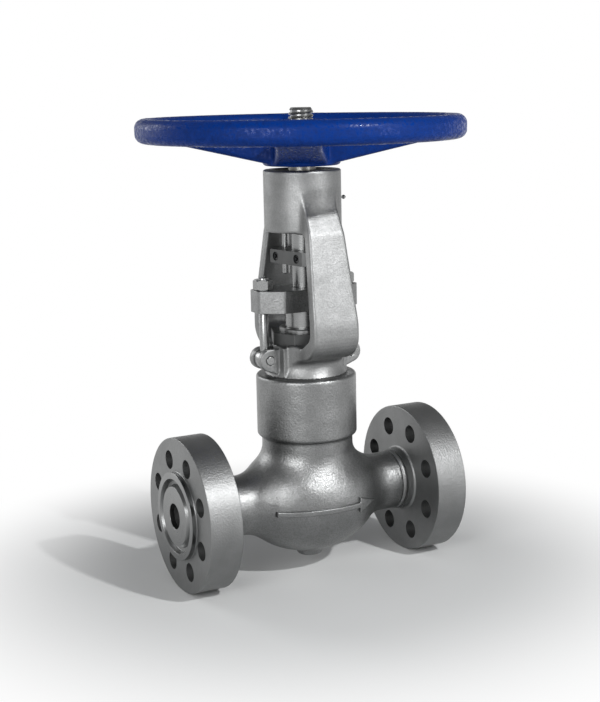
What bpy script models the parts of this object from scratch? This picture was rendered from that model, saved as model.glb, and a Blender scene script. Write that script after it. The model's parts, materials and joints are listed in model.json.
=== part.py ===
"""Flanged pressure-seal globe valve with outside screw and yoke, in metres, +Z up.

The origin is where the pipe's axis crosses the stem's axis. +X runs from the
inlet to the outlet, and +Z runs up the stem to the handwheel.
"""
import math

import bmesh
import bpy
import numpy as np
from mathutils import Matrix, Vector

# Clearance between pieces that touch or slide on each other, and round loose ones
GAP = 0.0003
LOOSE_FIT = 0.001

# Chamfer on turned ends, and how far a cutting shape runs past what it cuts
EDGE_BREAK = 0.001
CUT_PAST = 0.01

# Sides of the round forms, from the flanges down to the screws
RIM_STEPS = 48
WIDE_STEPS = 36
ROUND_STEPS = 32
NARROW_STEPS = 24
SMALL_STEPS = 12

# Pipe run and ring-joint flanges
FACE_TO_FACE = 0.454
PIPE_BORE_RADIUS = 0.01905
FLANGE_RADIUS = 0.1175
FLANGE_THICKNESS = 0.0509
FLANGE_EDGE_CHAMFER = 0.0015
RAISED_FACE_HEIGHT = 0.00792
GROOVE_LAND = 0.0157
GROOVE_WIDTH = 0.01191
GROOVE_DEPTH = 0.00792
GROOVE_WALL_ANGLE = math.radians(23)
BOLT_EDGE_DISTANCE = 0.0318
BOLT_HOLE_RADIUS = 0.0143
BOLT_HOLES = 8
BOLT_FACE_CLEARANCE = 0.0049
FLANGE_HUB_LENGTH = 0.0125
FLANGE_HUB_RADIUS = 0.049
FLANGE_HUB_FILLET = 0.004
WELD_WIDTH = 0.0078
WELD_CROWN = 0.0015

# Cast body
NECK_RADIUS = 0.046
BULB_HALF_LENGTH = 0.116
BULB_HALF_WIDTH = 0.091
BULB_DEPTH = 0.0875
NECK_FILLET = 0.016
COLUMN_RADIUS = 0.0705
COLUMN_FILLET = 0.024
COLUMN_SKIN_INSET = 0.0015
DRAIN_BOSS_RADIUS = 0.017
DRAIN_BOSS_DEPTH = 0.096
HEAD_RADIUS = 0.0774
HEAD_BOTTOM = 0.0989
HEAD_TOP = 0.1955
HEAD_CHAMFER = 0.0045

# Flow passage and seat inside the body
CHAMBER_RADIUS = 0.046
CHAMBER_FLOOR = 0.002
BOWL_RADIUS = 0.034
BOWL_CENTRE = -0.046
PASSAGE_RADIUS = 0.0205
OUTLET_RISE = 0.028
SEAT_RING_RADIUS = 0.0285
SEAT_RING_HEIGHT = 0.020
SEAT_RING_STAND = 0.004
SEAT_CONE = 0.0035

# Disc and its nut
DISC_RADIUS = 0.0265
DISC_HEIGHT = 0.034
DISC_WALL = 0.004
DISC_FLOOR = 0.012
DISC_NUT_HEIGHT = 0.012

# Stem
STEM_RADIUS = 0.01875
STEM_TOP = 0.600
STEM_TIP_CHAMFER = 0.003
STEM_BUTTON_HEIGHT = 0.009
BACKSEAT_COLLAR_RADIUS = 0.023
BACKSEAT_COLLAR_HEIGHT = 0.008
LIFT = 0.018

# Pressure-seal bonnet, its retainer and the packing
BONNET_BORE_RADIUS = 0.050
BONNET_BOTTOM = 0.105
BONNET_PLUG_HEIGHT = 0.020
BONNET_NECK_RADIUS = 0.040
SEAL_CONE_SLOPE = 1.0
GASKET_HEIGHT = 0.014
SPACER_HEIGHT = 0.008
SEGMENT_HEIGHT = 0.012
SEGMENT_DEPTH = 0.0067
SEGMENT_RINGS = 4
SEGMENT_SLIT = 0.002
RETAINER_WALL = 0.0055
STUFFING_BOX_RADIUS = 0.0303
STUFFING_BOX_DEPTH = 0.078
PACKING_WASHER_HEIGHT = 0.004
PACKING_RING_HEIGHT = 0.011
PACKING_RINGS = 5
BONNET_END = 0.006

# Yoke
YOKE_FOOT_RADIUS = 0.0575
YOKE_FOOT_FLARE = 0.006
YOKE_FLARE_HEIGHT = 0.022
YOKE_BASE_HEIGHT = 0.0473
WINDOW_HEIGHT = 0.1685
DRUM_HEIGHT = 0.0963
DRUM_RADIUS = 0.059
DRUM_EDGE = 0.003
DRUM_FLOOR = 0.014
DRUM_BORE_RADIUS = 0.042
ARM_THICKNESS = 0.017
ARM_TOP_REACH = 0.050
ARM_SHOULDER_REACH = 0.0765
ARM_HIP_REACH = 0.1025
ARM_TOP_WIDTH = 0.0545
ARM_HIP_WIDTH = 0.0765
ARM_TOP_DROP = 0.0365
ARM_SHOULDER_DROP = 0.093
HIP_HEIGHT = 0.0853
HIP_STRAIGHT = 0.020
ARM_EDGE = 0.0022
WINDOW_CORNER = 0.011

# Gland: bush, flange and swing bolts
GLAND_BUSH_RADIUS = 0.030
GLAND_BUSH_EXPOSED = 0.0275
GLAND_FLANGE_THICKNESS = 0.0335
GLAND_FLANGE_END_MARGIN = 0.0155
GLAND_FLANGE_WIDTH = 0.074
GLAND_FLANGE_END = 0.030
GLAND_FLANGE_TAPER = 0.033
GLAND_FLANGE_EDGE = 0.003
EYE_BOLT_SPACING = 0.140
EYE_BOLT_RADIUS = 0.0073
EYE_BOLT_THREAD_RADIUS = 0.008
EYE_RADIUS = 0.0145
EYE_THICKNESS = 0.0165
EYE_CLEARANCE = 0.001
EYE_BOLT_TIP = 0.003
EYE_BOLT_THREAD_LENGTH = 0.070
HEX_NUT_ACROSS_FLATS = 0.027
HEX_NUT_HEIGHT = 0.0160
PIN_RADIUS = 0.0065
PIN_HEAD = 0.0008
EAR_RADIUS = 0.0168
EAR_THICKNESS = 0.0115
EAR_DROP = 0.020
EAR_PAD_WIDTH = 0.066
EAR_WEB_INSET = 0.020
EAR_ROOT_DEPTH = 0.016
EAR_WEB_LIFT = 0.002

# Bonnet nut
BONNET_NUT_ACROSS_FLATS = 0.1016
BONNET_NUT_HEIGHT = 0.0187
BONNET_NUT_CHAMFER = 0.002

# Stem nut and its bearings
STEM_NUT_RADIUS = 0.0245
STEM_NUT_FLANGE_RADIUS = 0.0385
STEM_NUT_FLANGE_HEIGHT = 0.012
BEARING_HEIGHT = 0.013
BEARING_RADIUS = 0.0405
BEARING_CAP_RECESS = 0.003
CAP_SCREW_RADIUS = 0.003
CAP_SCREW_LENGTH = 0.012
CAP_SCREW_RISE = 0.008
NIPPLE_HEIGHT_ON_DRUM = 0.0504
NIPPLE_THREAD_RADIUS = 0.003
NIPPLE_LENGTH = 0.0155
NIPPLE_HEAD_RADIUS = 0.0033

# Handwheel
WHEEL_RADIUS = 0.2485
RIM_HEIGHT = 0.036
RIM_WIDTH = 0.030
RIM_RISE = 0.0552
WHEEL_GAP = 0.0060
HUB_RADIUS = 0.059
HUB_EDGE = 0.005
HUB_HEIGHT = 0.048
SPOKES = 4
SPOKE_TURN = math.radians(61)
SPOKE_ROOT_WIDTH = 0.080
SPOKE_TIP_WIDTH = 0.066
SPOKE_ROOT_DEPTH = 0.036
SPOKE_TIP_DEPTH = 0.022
WHEEL_NUT_HEIGHT = 0.014
WHEEL_NUT_ACROSS_FLATS = 0.064
KEY_WIDTH = 0.010
KEY_DEPTH = 0.005
KEY_LENGTH = 0.040

# Anti-rotation guide clamped on the stem
GUIDE_TURN = math.radians(9)
GUIDE_HEIGHT = 0.0208
GUIDE_RISE = 0.1225
GUIDE_HALF_LENGTH = 0.058
GUIDE_HALF_WIDTH = 0.034
GUIDE_FACE_LENGTH = 0.080
GUIDE_SPLIT = 0.002
GUIDE_SCREW_OFFSET = 0.0265
GUIDE_SCREW_RADIUS = 0.004
GUIDE_SCREW_HEAD_RADIUS = 0.0065
GUIDE_SCREW_HEAD_HEIGHT = 0.008
GUIDE_ROD_OFFSET = 0.047
GUIDE_ROD_RADIUS = 0.00625
GUIDE_ROD_LENGTH = 0.0665
GUIDE_ROD_ENTRY = 0.012

# Heights that follow from the sizes above
run_half = FACE_TO_FACE / 2
flange_back = run_half - RAISED_FACE_HEIGHT - FLANGE_THICKNESS
bolt_circle_radius = FLANGE_RADIUS - BOLT_EDGE_DISTANCE
raised_face_radius = bolt_circle_radius - BOLT_HOLE_RADIUS - BOLT_FACE_CLEARANCE
groove_pitch_radius = raised_face_radius - GROOVE_LAND
flange_hub_end = flange_back - FLANGE_HUB_LENGTH - WELD_WIDTH
seat_top = CHAMBER_FLOOR + SEAT_RING_STAND
disc_base = seat_top + GAP
disc_top = disc_base + DISC_HEIGHT
stem_bottom = disc_base + DISC_FLOOR + GAP
stem_button_top = stem_bottom + STEM_BUTTON_HEIGHT
backseat_top = BONNET_BOTTOM - LIFT - 3 * GAP
plug_top = BONNET_BOTTOM + BONNET_PLUG_HEIGHT
seal_rise = (BONNET_BORE_RADIUS - BONNET_NECK_RADIUS) * SEAL_CONE_SLOPE
gasket_top = plug_top + seal_rise + GASKET_HEIGHT
spacer_bottom = gasket_top + GAP
spacer_top = spacer_bottom + SPACER_HEIGHT
segment_bottom = spacer_top + GAP
segment_top = segment_bottom + SEGMENT_HEIGHT
yoke_bottom = HEAD_TOP + GAP
window_floor = yoke_bottom + YOKE_BASE_HEIGHT
drum_bottom = window_floor + WINDOW_HEIGHT
drum_top = drum_bottom + DRUM_HEIGHT
bonnet_nut_bottom = window_floor + GAP
bonnet_nut_top = bonnet_nut_bottom + BONNET_NUT_HEIGHT
bonnet_top = bonnet_nut_top + BONNET_END
box_bottom = bonnet_top - STUFFING_BOX_DEPTH
gland_flange_bottom = bonnet_top + GLAND_BUSH_EXPOSED
gland_flange_top = gland_flange_bottom + GLAND_FLANGE_THICKNESS
hex_nut_bottom = gland_flange_top + GAP
hex_nut_top = hex_nut_bottom + HEX_NUT_HEIGHT
ear_height = window_floor - EAR_DROP
eye_bolt_offset = EYE_BOLT_SPACING / 2
gland_flange_length = EYE_BOLT_SPACING + 2 * GLAND_FLANGE_END_MARGIN
ear_pad_reach = eye_bolt_offset - EYE_RADIUS - EYE_CLEARANCE
ear_web_reach = eye_bolt_offset - EAR_WEB_INSET
ear_root = YOKE_FOOT_RADIUS - EAR_ROOT_DEPTH
bearing_bottom = drum_bottom + DRUM_FLOOR + GAP
nut_flange_bottom = bearing_bottom + BEARING_HEIGHT + GAP
nut_flange_top = nut_flange_bottom + STEM_NUT_FLANGE_HEIGHT
upper_bearing_bottom = nut_flange_top + GAP
cap_bottom = upper_bearing_bottom + BEARING_HEIGHT + GAP
cap_top = drum_top - BEARING_CAP_RECESS
cap_screw_height = (cap_top + cap_bottom) / 2 + CAP_SCREW_RISE
hub_bottom = drum_top + WHEEL_GAP
hub_top = hub_bottom + HUB_HEIGHT
rim_middle = hub_bottom + RIM_RISE
guide_bottom = window_floor + GUIDE_RISE
bush_bore = STEM_RADIUS + 2 * GAP


def clear_scene():
    """Remove every object, mesh and material that the file starts with."""
    for old in list(bpy.data.objects):
        bpy.data.objects.remove(old, do_unlink=True)
    for store in (bpy.data.meshes, bpy.data.materials):
        for old in list(store):
            store.remove(old)


def make_material(name, colour, roughness, metallic=1.0):
    """A plain Principled material from a linear colour."""
    material = bpy.data.materials.new(name)
    material.use_nodes = True
    shader = material.node_tree.nodes["Principled BSDF"]
    shader.inputs["Base Color"].default_value = (*colour, 1.0)
    shader.inputs["Roughness"].default_value = roughness
    shader.inputs["Metallic"].default_value = metallic
    material.diffuse_color = (*colour, 1.0)
    return material


def finish_mesh(name, shape, material, sharp=math.radians(32)):
    """Turn a bmesh into a named object, faces out, smooth between sharp edges."""
    bmesh.ops.remove_doubles(shape, verts=shape.verts, dist=1e-6)
    bmesh.ops.recalc_face_normals(shape, faces=shape.faces)
    mesh = bpy.data.meshes.new(name)
    shape.to_mesh(mesh)
    shape.free()
    mesh.materials.append(material)
    mesh.shade_smooth()
    mesh.set_sharp_from_angle(angle=sharp)
    piece = bpy.data.objects.new(name, mesh)
    bpy.context.scene.collection.objects.link(piece)
    return piece


def rounded(points, radii, steps=4):
    """An outline with arcs of the given radii at its corners, by corner number."""
    outline = []
    count = len(points)
    for index, point in enumerate(points):
        radius = radii.get(index, 0.0)
        corner = Vector(point)
        if radius <= 0.0:
            outline.append(tuple(corner))
            continue
        before = Vector(points[index - 1]) - corner
        after = Vector(points[(index + 1) % count]) - corner
        half = before.angle(after) / 2
        reach = min(radius / math.tan(half), 0.49 * before.length, 0.49 * after.length)
        start = corner + before.normalized() * reach
        end = corner + after.normalized() * reach
        middle = (before.normalized() + after.normalized()).normalized()
        centre = corner + middle * (reach / math.cos(half))
        for step in range(steps + 1):
            blend = step / steps
            ray = (start - centre).lerp(end - centre, blend).normalized()
            outline.append(tuple(centre + ray * reach * math.tan(half)))
    return outline


def turned_shape(profile, steps=ROUND_STEPS):
    """Spin a closed (radius, height) outline about Z. Points on the axis stay open."""
    shape = bmesh.new()
    on_axis = [index for index, (radius, height) in enumerate(profile) if radius < 1e-7]
    verts = [shape.verts.new((radius, 0.0, height)) for radius, height in profile]
    edges = []
    for index, vert in enumerate(verts):
        follower = (index + 1) % len(verts)
        if index in on_axis and follower in on_axis:
            continue
        edges.append(shape.edges.new((vert, verts[follower])))
    bmesh.ops.spin(shape, geom=verts + edges, cent=(0, 0, 0), axis=(0, 0, 1),
                   dvec=(0, 0, 0), angle=2 * math.pi, steps=steps, use_merge=True)
    bmesh.ops.remove_doubles(shape, verts=shape.verts, dist=1e-6)
    return shape


def turned(name, profile, material, steps=ROUND_STEPS):
    """A turned piece about Z."""
    return finish_mesh(name, turned_shape(profile, steps), material)


def ring(name, inner, outer, bottom, top, material, steps=NARROW_STEPS):
    """A turned ring or sleeve."""
    return turned(name, [(outer, top), (outer, bottom), (inner, bottom), (inner, top)],
                  material, steps)


def prism_shape(outline, bottom, top, edge=0.0, segments=2):
    """Extrude an (x, y) outline upwards, with its top and bottom rims rounded."""
    shape = bmesh.new()
    verts = [shape.verts.new((x, y, bottom)) for x, y in outline]
    base = shape.faces.new(verts)
    grown = bmesh.ops.extrude_face_region(shape, geom=[base])
    moved = [item for item in grown["geom"] if isinstance(item, bmesh.types.BMVert)]
    bmesh.ops.translate(shape, verts=moved, vec=(0, 0, top - bottom))
    if edge > 0:
        rims = [line for line in shape.edges
                if abs(line.verts[0].co.z - line.verts[1].co.z) < 1e-7]
        bmesh.ops.bevel(shape, geom=rims, offset=edge, segments=segments, profile=0.5,
                        affect="EDGES", clamp_overlap=True)
    bmesh.ops.recalc_face_normals(shape, faces=shape.faces)
    return shape


def prism(name, outline, bottom, top, material, edge=0.0, segments=2):
    """An extruded piece."""
    return finish_mesh(name, prism_shape(outline, bottom, top, edge, segments), material)


def move_shape(shape, matrix):
    """Move a bmesh by a matrix and give it back."""
    bmesh.ops.transform(shape, matrix=matrix, verts=shape.verts)
    return shape


def cylinder_shape(radius, start, end, steps=NARROW_STEPS):
    """A closed cylinder between two points."""
    start = Vector(start)
    run = Vector(end) - start
    profile = [(0.0, run.length), (radius, run.length), (radius, 0.0), (0.0, 0.0)]
    turn = run.to_track_quat("Z", "Y").to_matrix().to_4x4()
    return move_shape(turned_shape(profile, steps), Matrix.Translation(start) @ turn)


def box_shape(low, high):
    """A closed box between two corners."""
    shape = bmesh.new()
    bmesh.ops.create_cube(shape, size=1.0)
    low = Vector(low)
    high = Vector(high)
    size = high - low
    matrix = Matrix.Translation((low + high) / 2) @ Matrix.Diagonal((*size, 1.0))
    return move_shape(shape, matrix)


def combine(piece, shapes, operation):
    """Cut shapes out of a piece, or weld them on, one Boolean after another."""
    material = piece.data.materials[0]
    for number, shape in enumerate(shapes):
        tool = finish_mesh(f"{piece.name}_tool_{number}", shape, material)
        tool.hide_render = True
        tool.display_type = "WIRE"
        step = piece.modifiers.new("step", "BOOLEAN")
        step.operation = operation
        step.solver = "EXACT"
        step.object = tool
        bpy.context.view_layer.update()
        graph = bpy.context.evaluated_depsgraph_get()
        result = bpy.data.meshes.new_from_object(piece.evaluated_get(graph))
        piece.modifiers.remove(step)
        old = piece.data
        piece.data = result
        bpy.data.meshes.remove(old)
        bpy.data.objects.remove(tool, do_unlink=True)
    tidy = bmesh.new()
    tidy.from_mesh(piece.data)
    bmesh.ops.dissolve_degenerate(tidy, edges=tidy.edges, dist=1e-6)
    bmesh.ops.remove_doubles(tidy, verts=tidy.verts, dist=2e-6)
    tidy.to_mesh(piece.data)
    tidy.free()
    piece.data.materials.clear()
    piece.data.materials.append(material)
    piece.data.shade_smooth()
    piece.data.set_sharp_from_angle(angle=math.radians(32))
    return piece


def copy_piece(piece, name):
    """Another object that shares the piece's mesh."""
    twin = bpy.data.objects.new(name, piece.data)
    bpy.context.scene.collection.objects.link(twin)
    return twin


def polygon(sides, across_flats, turn=0.0):
    """A regular polygon's corners."""
    radius = across_flats / 2 / math.cos(math.pi / sides)
    return [(radius * math.cos(turn + 2 * math.pi * k / sides),
             radius * math.sin(turn + 2 * math.pi * k / sides)) for k in range(sides)]


def path_tube(points, radius, sides=SMALL_STEPS, samples=4):
    """A tube along a smooth curve through a few points in the XZ plane."""
    knots = [Vector(points[0])] + [Vector(p) for p in points] + [Vector(points[-1])]
    line = []
    for k in range(1, len(knots) - 2):
        a, b, c, d = knots[k - 1:k + 3]
        for step in range(samples):
            t = step / samples
            line.append(0.5 * (2 * b + (c - a) * t + (2 * a - 5 * b + 4 * c - d) * t * t
                               + (3 * b - a - 3 * c + d) * t ** 3))
    line.append(knots[-1])
    shape = bmesh.new()
    rows = []
    for index, point in enumerate(line):
        ahead = line[min(index + 1, len(line) - 1)]
        behind = line[max(index - 1, 0)]
        along = (ahead - behind).normalized()
        side = Vector((0, 1, 0))
        up = side.cross(along).normalized()
        row = []
        for k in range(sides):
            angle = 2 * math.pi * k / sides
            row.append(shape.verts.new(point + radius * (math.cos(angle) * side
                                                         + math.sin(angle) * up)))
        rows.append(row)
    for near, far in zip(rows, rows[1:]):
        for k in range(sides):
            follower = (k + 1) % sides
            shape.faces.new((near[k], near[follower], far[follower], far[k]))
    shape.faces.new(rows[0])
    shape.faces.new(rows[-1])
    bmesh.ops.recalc_face_normals(shape, faces=shape.faces)
    return shape


def soft_union(first, second, reach):
    """The smooth union of two signed distances, like a cast fillet."""
    blend = np.clip(0.5 + 0.5 * (second - first) / reach, 0.0, 1.0)
    return second * (1 - blend) + first * blend - reach * blend * (1 - blend)


def casting_distance(x, y, z):
    """How far a point lies outside the raw casting: necks, bulb, column and boss."""
    neck = np.sqrt(y * y + z * z) - NECK_RADIUS
    stretch = np.sqrt((x / BULB_HALF_LENGTH) ** 2 + (y / BULB_HALF_WIDTH) ** 2
                      + (z / BULB_DEPTH) ** 2)
    bulb = (stretch - 1.0) * min(BULB_HALF_LENGTH, BULB_HALF_WIDTH, BULB_DEPTH)
    column = np.maximum(np.sqrt(x * x + y * y) - COLUMN_RADIUS + COLUMN_SKIN_INSET, -z)
    body = soft_union(soft_union(neck, bulb, NECK_FILLET), column, COLUMN_FILLET)
    boss = np.maximum(np.sqrt(x * x + y * y) - DRAIN_BOSS_RADIUS, z)
    boss = np.maximum(boss, -DRAIN_BOSS_DEPTH - z)
    body = soft_union(body, boss, NECK_FILLET / 2)
    return np.maximum(body, z - (HEAD_BOTTOM - GAP))


def casting_shape(sides=ROUND_STEPS):
    """The casting's skin: in each cross-section, rays are followed to its surface."""
    near_wall = COLUMN_RADIUS - COLUMN_FILLET / 3
    past_wall = COLUMN_RADIUS + COLUMN_FILLET / 2
    half = np.concatenate((np.linspace(flange_hub_end - GAP, past_wall, 7),
                           np.linspace(past_wall, near_wall, 5)[1:],
                           np.linspace(near_wall, 0, 6)[1:]))
    stations = np.concatenate((-half, half[-2::-1]))
    angles = 2 * np.pi * np.arange(sides) / sides
    x, angle = np.meshgrid(stations, angles, indexing="ij")
    inside = np.zeros_like(x)
    outside = np.full_like(x, HEAD_TOP)
    for _ in range(40):
        middle = (inside + outside) / 2
        out = casting_distance(x, middle * np.sin(angle), middle * np.cos(angle)) > 0
        outside = np.where(out, middle, outside)
        inside = np.where(out, inside, middle)
    y = inside * np.sin(angle)
    z = inside * np.cos(angle)
    shape = bmesh.new()
    grid = [[shape.verts.new((x[r, k], y[r, k], z[r, k])) for k in range(sides)]
            for r in range(len(stations))]
    for near, far in zip(grid, grid[1:]):
        for k in range(sides):
            follower = (k + 1) % sides
            shape.faces.new((near[k], near[follower], far[follower], far[k]))
    shape.faces.new(grid[0])
    shape.faces.new(grid[-1])
    bmesh.ops.recalc_face_normals(shape, faces=shape.faces)
    return shape


def make_body(steel):
    """Cast body with its bonnet head, S-shaped passage, seat pocket and segment groove."""
    body = finish_mesh("valve_body", casting_shape(), steel)
    inset = HEAD_RADIUS - HEAD_CHAMFER
    head = [(0.0, HEAD_TOP), (inset, HEAD_TOP), (HEAD_RADIUS, HEAD_TOP - HEAD_CHAMFER),
            (HEAD_RADIUS, HEAD_BOTTOM + HEAD_CHAMFER), (inset, HEAD_BOTTOM),
            (COLUMN_RADIUS, HEAD_BOTTOM), (COLUMN_RADIUS, HEAD_BOTTOM / 3),
            (0.0, HEAD_BOTTOM / 3)]
    combine(body, [turned_shape(head, WIDE_STEPS)], "UNION")
    bore = [(0.0, HEAD_TOP + CUT_PAST), (BONNET_BORE_RADIUS, HEAD_TOP + CUT_PAST),
            (BONNET_BORE_RADIUS, segment_top + GAP),
            (BONNET_BORE_RADIUS + SEGMENT_DEPTH + GAP, segment_top + GAP),
            (BONNET_BORE_RADIUS + SEGMENT_DEPTH + GAP, segment_bottom - GAP),
            (BONNET_BORE_RADIUS, segment_bottom - GAP),
            (BONNET_BORE_RADIUS, BONNET_BOTTOM - GAP),
            (CHAMBER_RADIUS, BONNET_BOTTOM - 0.006),
            (CHAMBER_RADIUS, CHAMBER_FLOOR), (SEAT_RING_RADIUS + GAP, CHAMBER_FLOOR),
            (SEAT_RING_RADIUS + GAP, seat_top - SEAT_RING_HEIGHT - GAP),
            (PIPE_BORE_RADIUS, seat_top - SEAT_RING_HEIGHT - GAP),
            (PIPE_BORE_RADIUS, BOWL_CENTRE), (0.0, BOWL_CENTRE)]
    bowl = bmesh.new()
    bmesh.ops.create_uvsphere(bowl, u_segments=20, v_segments=10, radius=BOWL_RADIUS)
    move_shape(bowl, Matrix.Translation((0, 0, BOWL_CENTRE)))
    end = flange_hub_end + CUT_PAST
    inlet = path_tube([(-end, 0, 0), (-0.66 * end, 0, -0.002), (-0.3 * end, 0, 0.62 * BOWL_CENTRE),
                       (0, 0, BOWL_CENTRE)], PASSAGE_RADIUS)
    outlet = path_tube([(0, 0, OUTLET_RISE), (0.3 * end, 0, 0.9 * OUTLET_RISE),
                        (0.66 * end, 0, 0.002), (end, 0, 0)], PASSAGE_RADIUS)
    combine(body, [bowl, inlet, outlet, turned_shape(bore)], "DIFFERENCE")
    return body


def make_flange(name, side, steel):
    """Ring-joint flange with its bolt holes, groove, short hub and weld bead."""
    half_mouth = GROOVE_WIDTH / 2
    half_floor = half_mouth - GROOVE_DEPTH * math.tan(GROOVE_WALL_ANGLE)
    face = run_half
    rim = face - RAISED_FACE_HEIGHT
    weld_start = flange_hub_end
    hub_end = weld_start + WELD_WIDTH
    chamfer = FLANGE_EDGE_CHAMFER
    profile = [
        (PIPE_BORE_RADIUS, face),
        (groove_pitch_radius - half_mouth, face),
        (groove_pitch_radius - half_floor, face - GROOVE_DEPTH),
        (groove_pitch_radius + half_floor, face - GROOVE_DEPTH),
        (groove_pitch_radius + half_mouth, face),
        (raised_face_radius, face),
        (raised_face_radius, rim),
        (FLANGE_RADIUS - chamfer, rim),
        (FLANGE_RADIUS, rim - chamfer),
        (FLANGE_RADIUS, flange_back + chamfer),
        (FLANGE_RADIUS - chamfer, flange_back),
        (FLANGE_HUB_RADIUS + FLANGE_HUB_FILLET, flange_back),
        (FLANGE_HUB_RADIUS, flange_back - FLANGE_HUB_FILLET),
        (FLANGE_HUB_RADIUS, hub_end + EDGE_BREAK),
        (NECK_RADIUS, hub_end),
    ]
    profile.append((NECK_RADIUS + WELD_CROWN, (hub_end + weld_start) / 2))
    profile += [(NECK_RADIUS, weld_start), (PIPE_BORE_RADIUS, weld_start)]
    flange = turned(name, profile, steel, WIDE_STEPS)
    holes = []
    for k in range(BOLT_HOLES):
        angle = 2 * math.pi * (k + 0.5) / BOLT_HOLES
        x = bolt_circle_radius * math.cos(angle)
        y = bolt_circle_radius * math.sin(angle)
        holes.append(cylinder_shape(BOLT_HOLE_RADIUS, (x, y, flange_back - CUT_PAST),
                                    (x, y, face + CUT_PAST), SMALL_STEPS))
    combine(flange, holes, "DIFFERENCE")
    flange.data.transform(Matrix.Rotation(side * math.pi / 2, 4, "Y"))
    return flange


def make_trim(steel, bright):
    """Seat ring, disc, disc nut and stem."""
    bottom = seat_top - SEAT_RING_HEIGHT
    seat = [(SEAT_RING_RADIUS, seat_top), (SEAT_RING_RADIUS, bottom),
            (PIPE_BORE_RADIUS, bottom), (PIPE_BORE_RADIUS, seat_top - SEAT_CONE),
            (PIPE_BORE_RADIUS + SEAT_CONE, seat_top)]
    pieces = [turned("seat_ring", seat, bright, NARROW_STEPS)]
    cavity = DISC_RADIUS - DISC_WALL
    disc = [(0.0, disc_base - SEAT_CONE), (PIPE_BORE_RADIUS, disc_base - SEAT_CONE),
            (PIPE_BORE_RADIUS + SEAT_CONE, disc_base), (DISC_RADIUS, disc_base + EDGE_BREAK),
            (DISC_RADIUS, disc_top), (cavity, disc_top), (cavity, disc_base + DISC_FLOOR),
            (0.0, disc_base + DISC_FLOOR)]
    pieces.append(turned("disc", disc, bright, NARROW_STEPS))
    nut_bottom = stem_button_top + GAP
    pieces.append(ring("disc_nut", bush_bore, cavity - GAP, nut_bottom,
                       nut_bottom + DISC_NUT_HEIGHT, steel))
    button = cavity - 3 * GAP
    collar_bottom = backseat_top - BACKSEAT_COLLAR_HEIGHT
    stem = [(0.0, stem_bottom), (button, stem_bottom), (button, stem_button_top),
            (STEM_RADIUS, stem_button_top), (STEM_RADIUS, collar_bottom),
            (BACKSEAT_COLLAR_RADIUS, collar_bottom + 0.002),
            (BACKSEAT_COLLAR_RADIUS, backseat_top - 0.004), (STEM_RADIUS, backseat_top),
            (STEM_RADIUS, STEM_TOP - STEM_TIP_CHAMFER),
            (STEM_RADIUS - STEM_TIP_CHAMFER, STEM_TOP), (0.0, STEM_TOP)]
    pieces.append(turned("stem", stem, bright, NARROW_STEPS))
    return pieces


def make_bonnet(steel, graphite, bright):
    """Pressure-seal bonnet with its gasket, retainers, bonnet nut and packing."""
    plug = BONNET_BORE_RADIUS - GAP
    bore = bush_bore
    inner = BONNET_NECK_RADIUS + GAP
    profile = [(plug - 0.002, BONNET_BOTTOM), (bore + 0.004, BONNET_BOTTOM),
               (bore, BONNET_BOTTOM + 0.004), (bore, box_bottom),
               (STUFFING_BOX_RADIUS, box_bottom), (STUFFING_BOX_RADIUS, bonnet_top - EDGE_BREAK),
               (STUFFING_BOX_RADIUS + EDGE_BREAK, bonnet_top),
               (BONNET_NECK_RADIUS - 0.0015, bonnet_top),
               (BONNET_NECK_RADIUS, bonnet_top - 0.0015),
               (BONNET_NECK_RADIUS, plug_top + seal_rise), (plug, plug_top),
               (plug, BONNET_BOTTOM + 0.002)]
    pieces = [turned("bonnet", profile, steel)]
    gasket = [(inner, gasket_top), (plug, gasket_top), (plug, plug_top + 2 * GAP),
              (inner, plug_top + seal_rise + 2 * GAP)]
    pieces.append(turned("pressure_seal_gasket", gasket, graphite))
    pieces.append(ring("spacer_ring", inner, plug, spacer_bottom, spacer_top, steel,
                       ROUND_STEPS))
    retainer_outer = inner + RETAINER_WALL
    pieces.append(ring("segment_retainer", inner, retainer_outer, segment_bottom,
                       HEAD_TOP - GAP, steel, ROUND_STEPS))
    sweep = 2 * math.pi / SEGMENT_RINGS
    slit = SEGMENT_SLIT / BONNET_BORE_RADIUS
    outer = BONNET_BORE_RADIUS + SEGMENT_DEPTH
    facet = (sweep - slit) / 6
    arc = [slit / 2 + facet * k for k in range(7)]
    within = (retainer_outer + GAP) / math.cos(facet / 2)
    outline = [(outer * math.cos(a), outer * math.sin(a)) for a in arc]
    outline += [(within * math.cos(a), within * math.sin(a)) for a in reversed(arc)]
    first = prism("segment_ring_1", outline, segment_bottom, segment_top, steel)
    pieces.append(first)
    for k in range(1, SEGMENT_RINGS):
        twin = copy_piece(first, f"segment_ring_{k + 1}")
        twin.rotation_euler.z = sweep * k
        pieces.append(twin)
    nut = prism("bonnet_nut", polygon(8, BONNET_NUT_ACROSS_FLATS), bonnet_nut_bottom,
                bonnet_nut_top, bright, BONNET_NUT_CHAMFER, 1)
    combine(nut, [cylinder_shape(inner, (0, 0, bonnet_nut_bottom - CUT_PAST),
                                 (0, 0, bonnet_nut_top + CUT_PAST), ROUND_STEPS)], "DIFFERENCE")
    pieces.append(nut)
    level = box_bottom + GAP
    fit = STUFFING_BOX_RADIUS - GAP
    pieces.append(ring("packing_washer", bore, fit, level, level + PACKING_WASHER_HEIGHT,
                       steel))
    level += PACKING_WASHER_HEIGHT + GAP
    for k in range(PACKING_RINGS):
        pieces.append(ring(f"packing_ring_{k + 1}", bore, fit, level,
                           level + PACKING_RING_HEIGHT, graphite))
        level += PACKING_RING_HEIGHT + GAP
    return pieces, level


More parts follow.
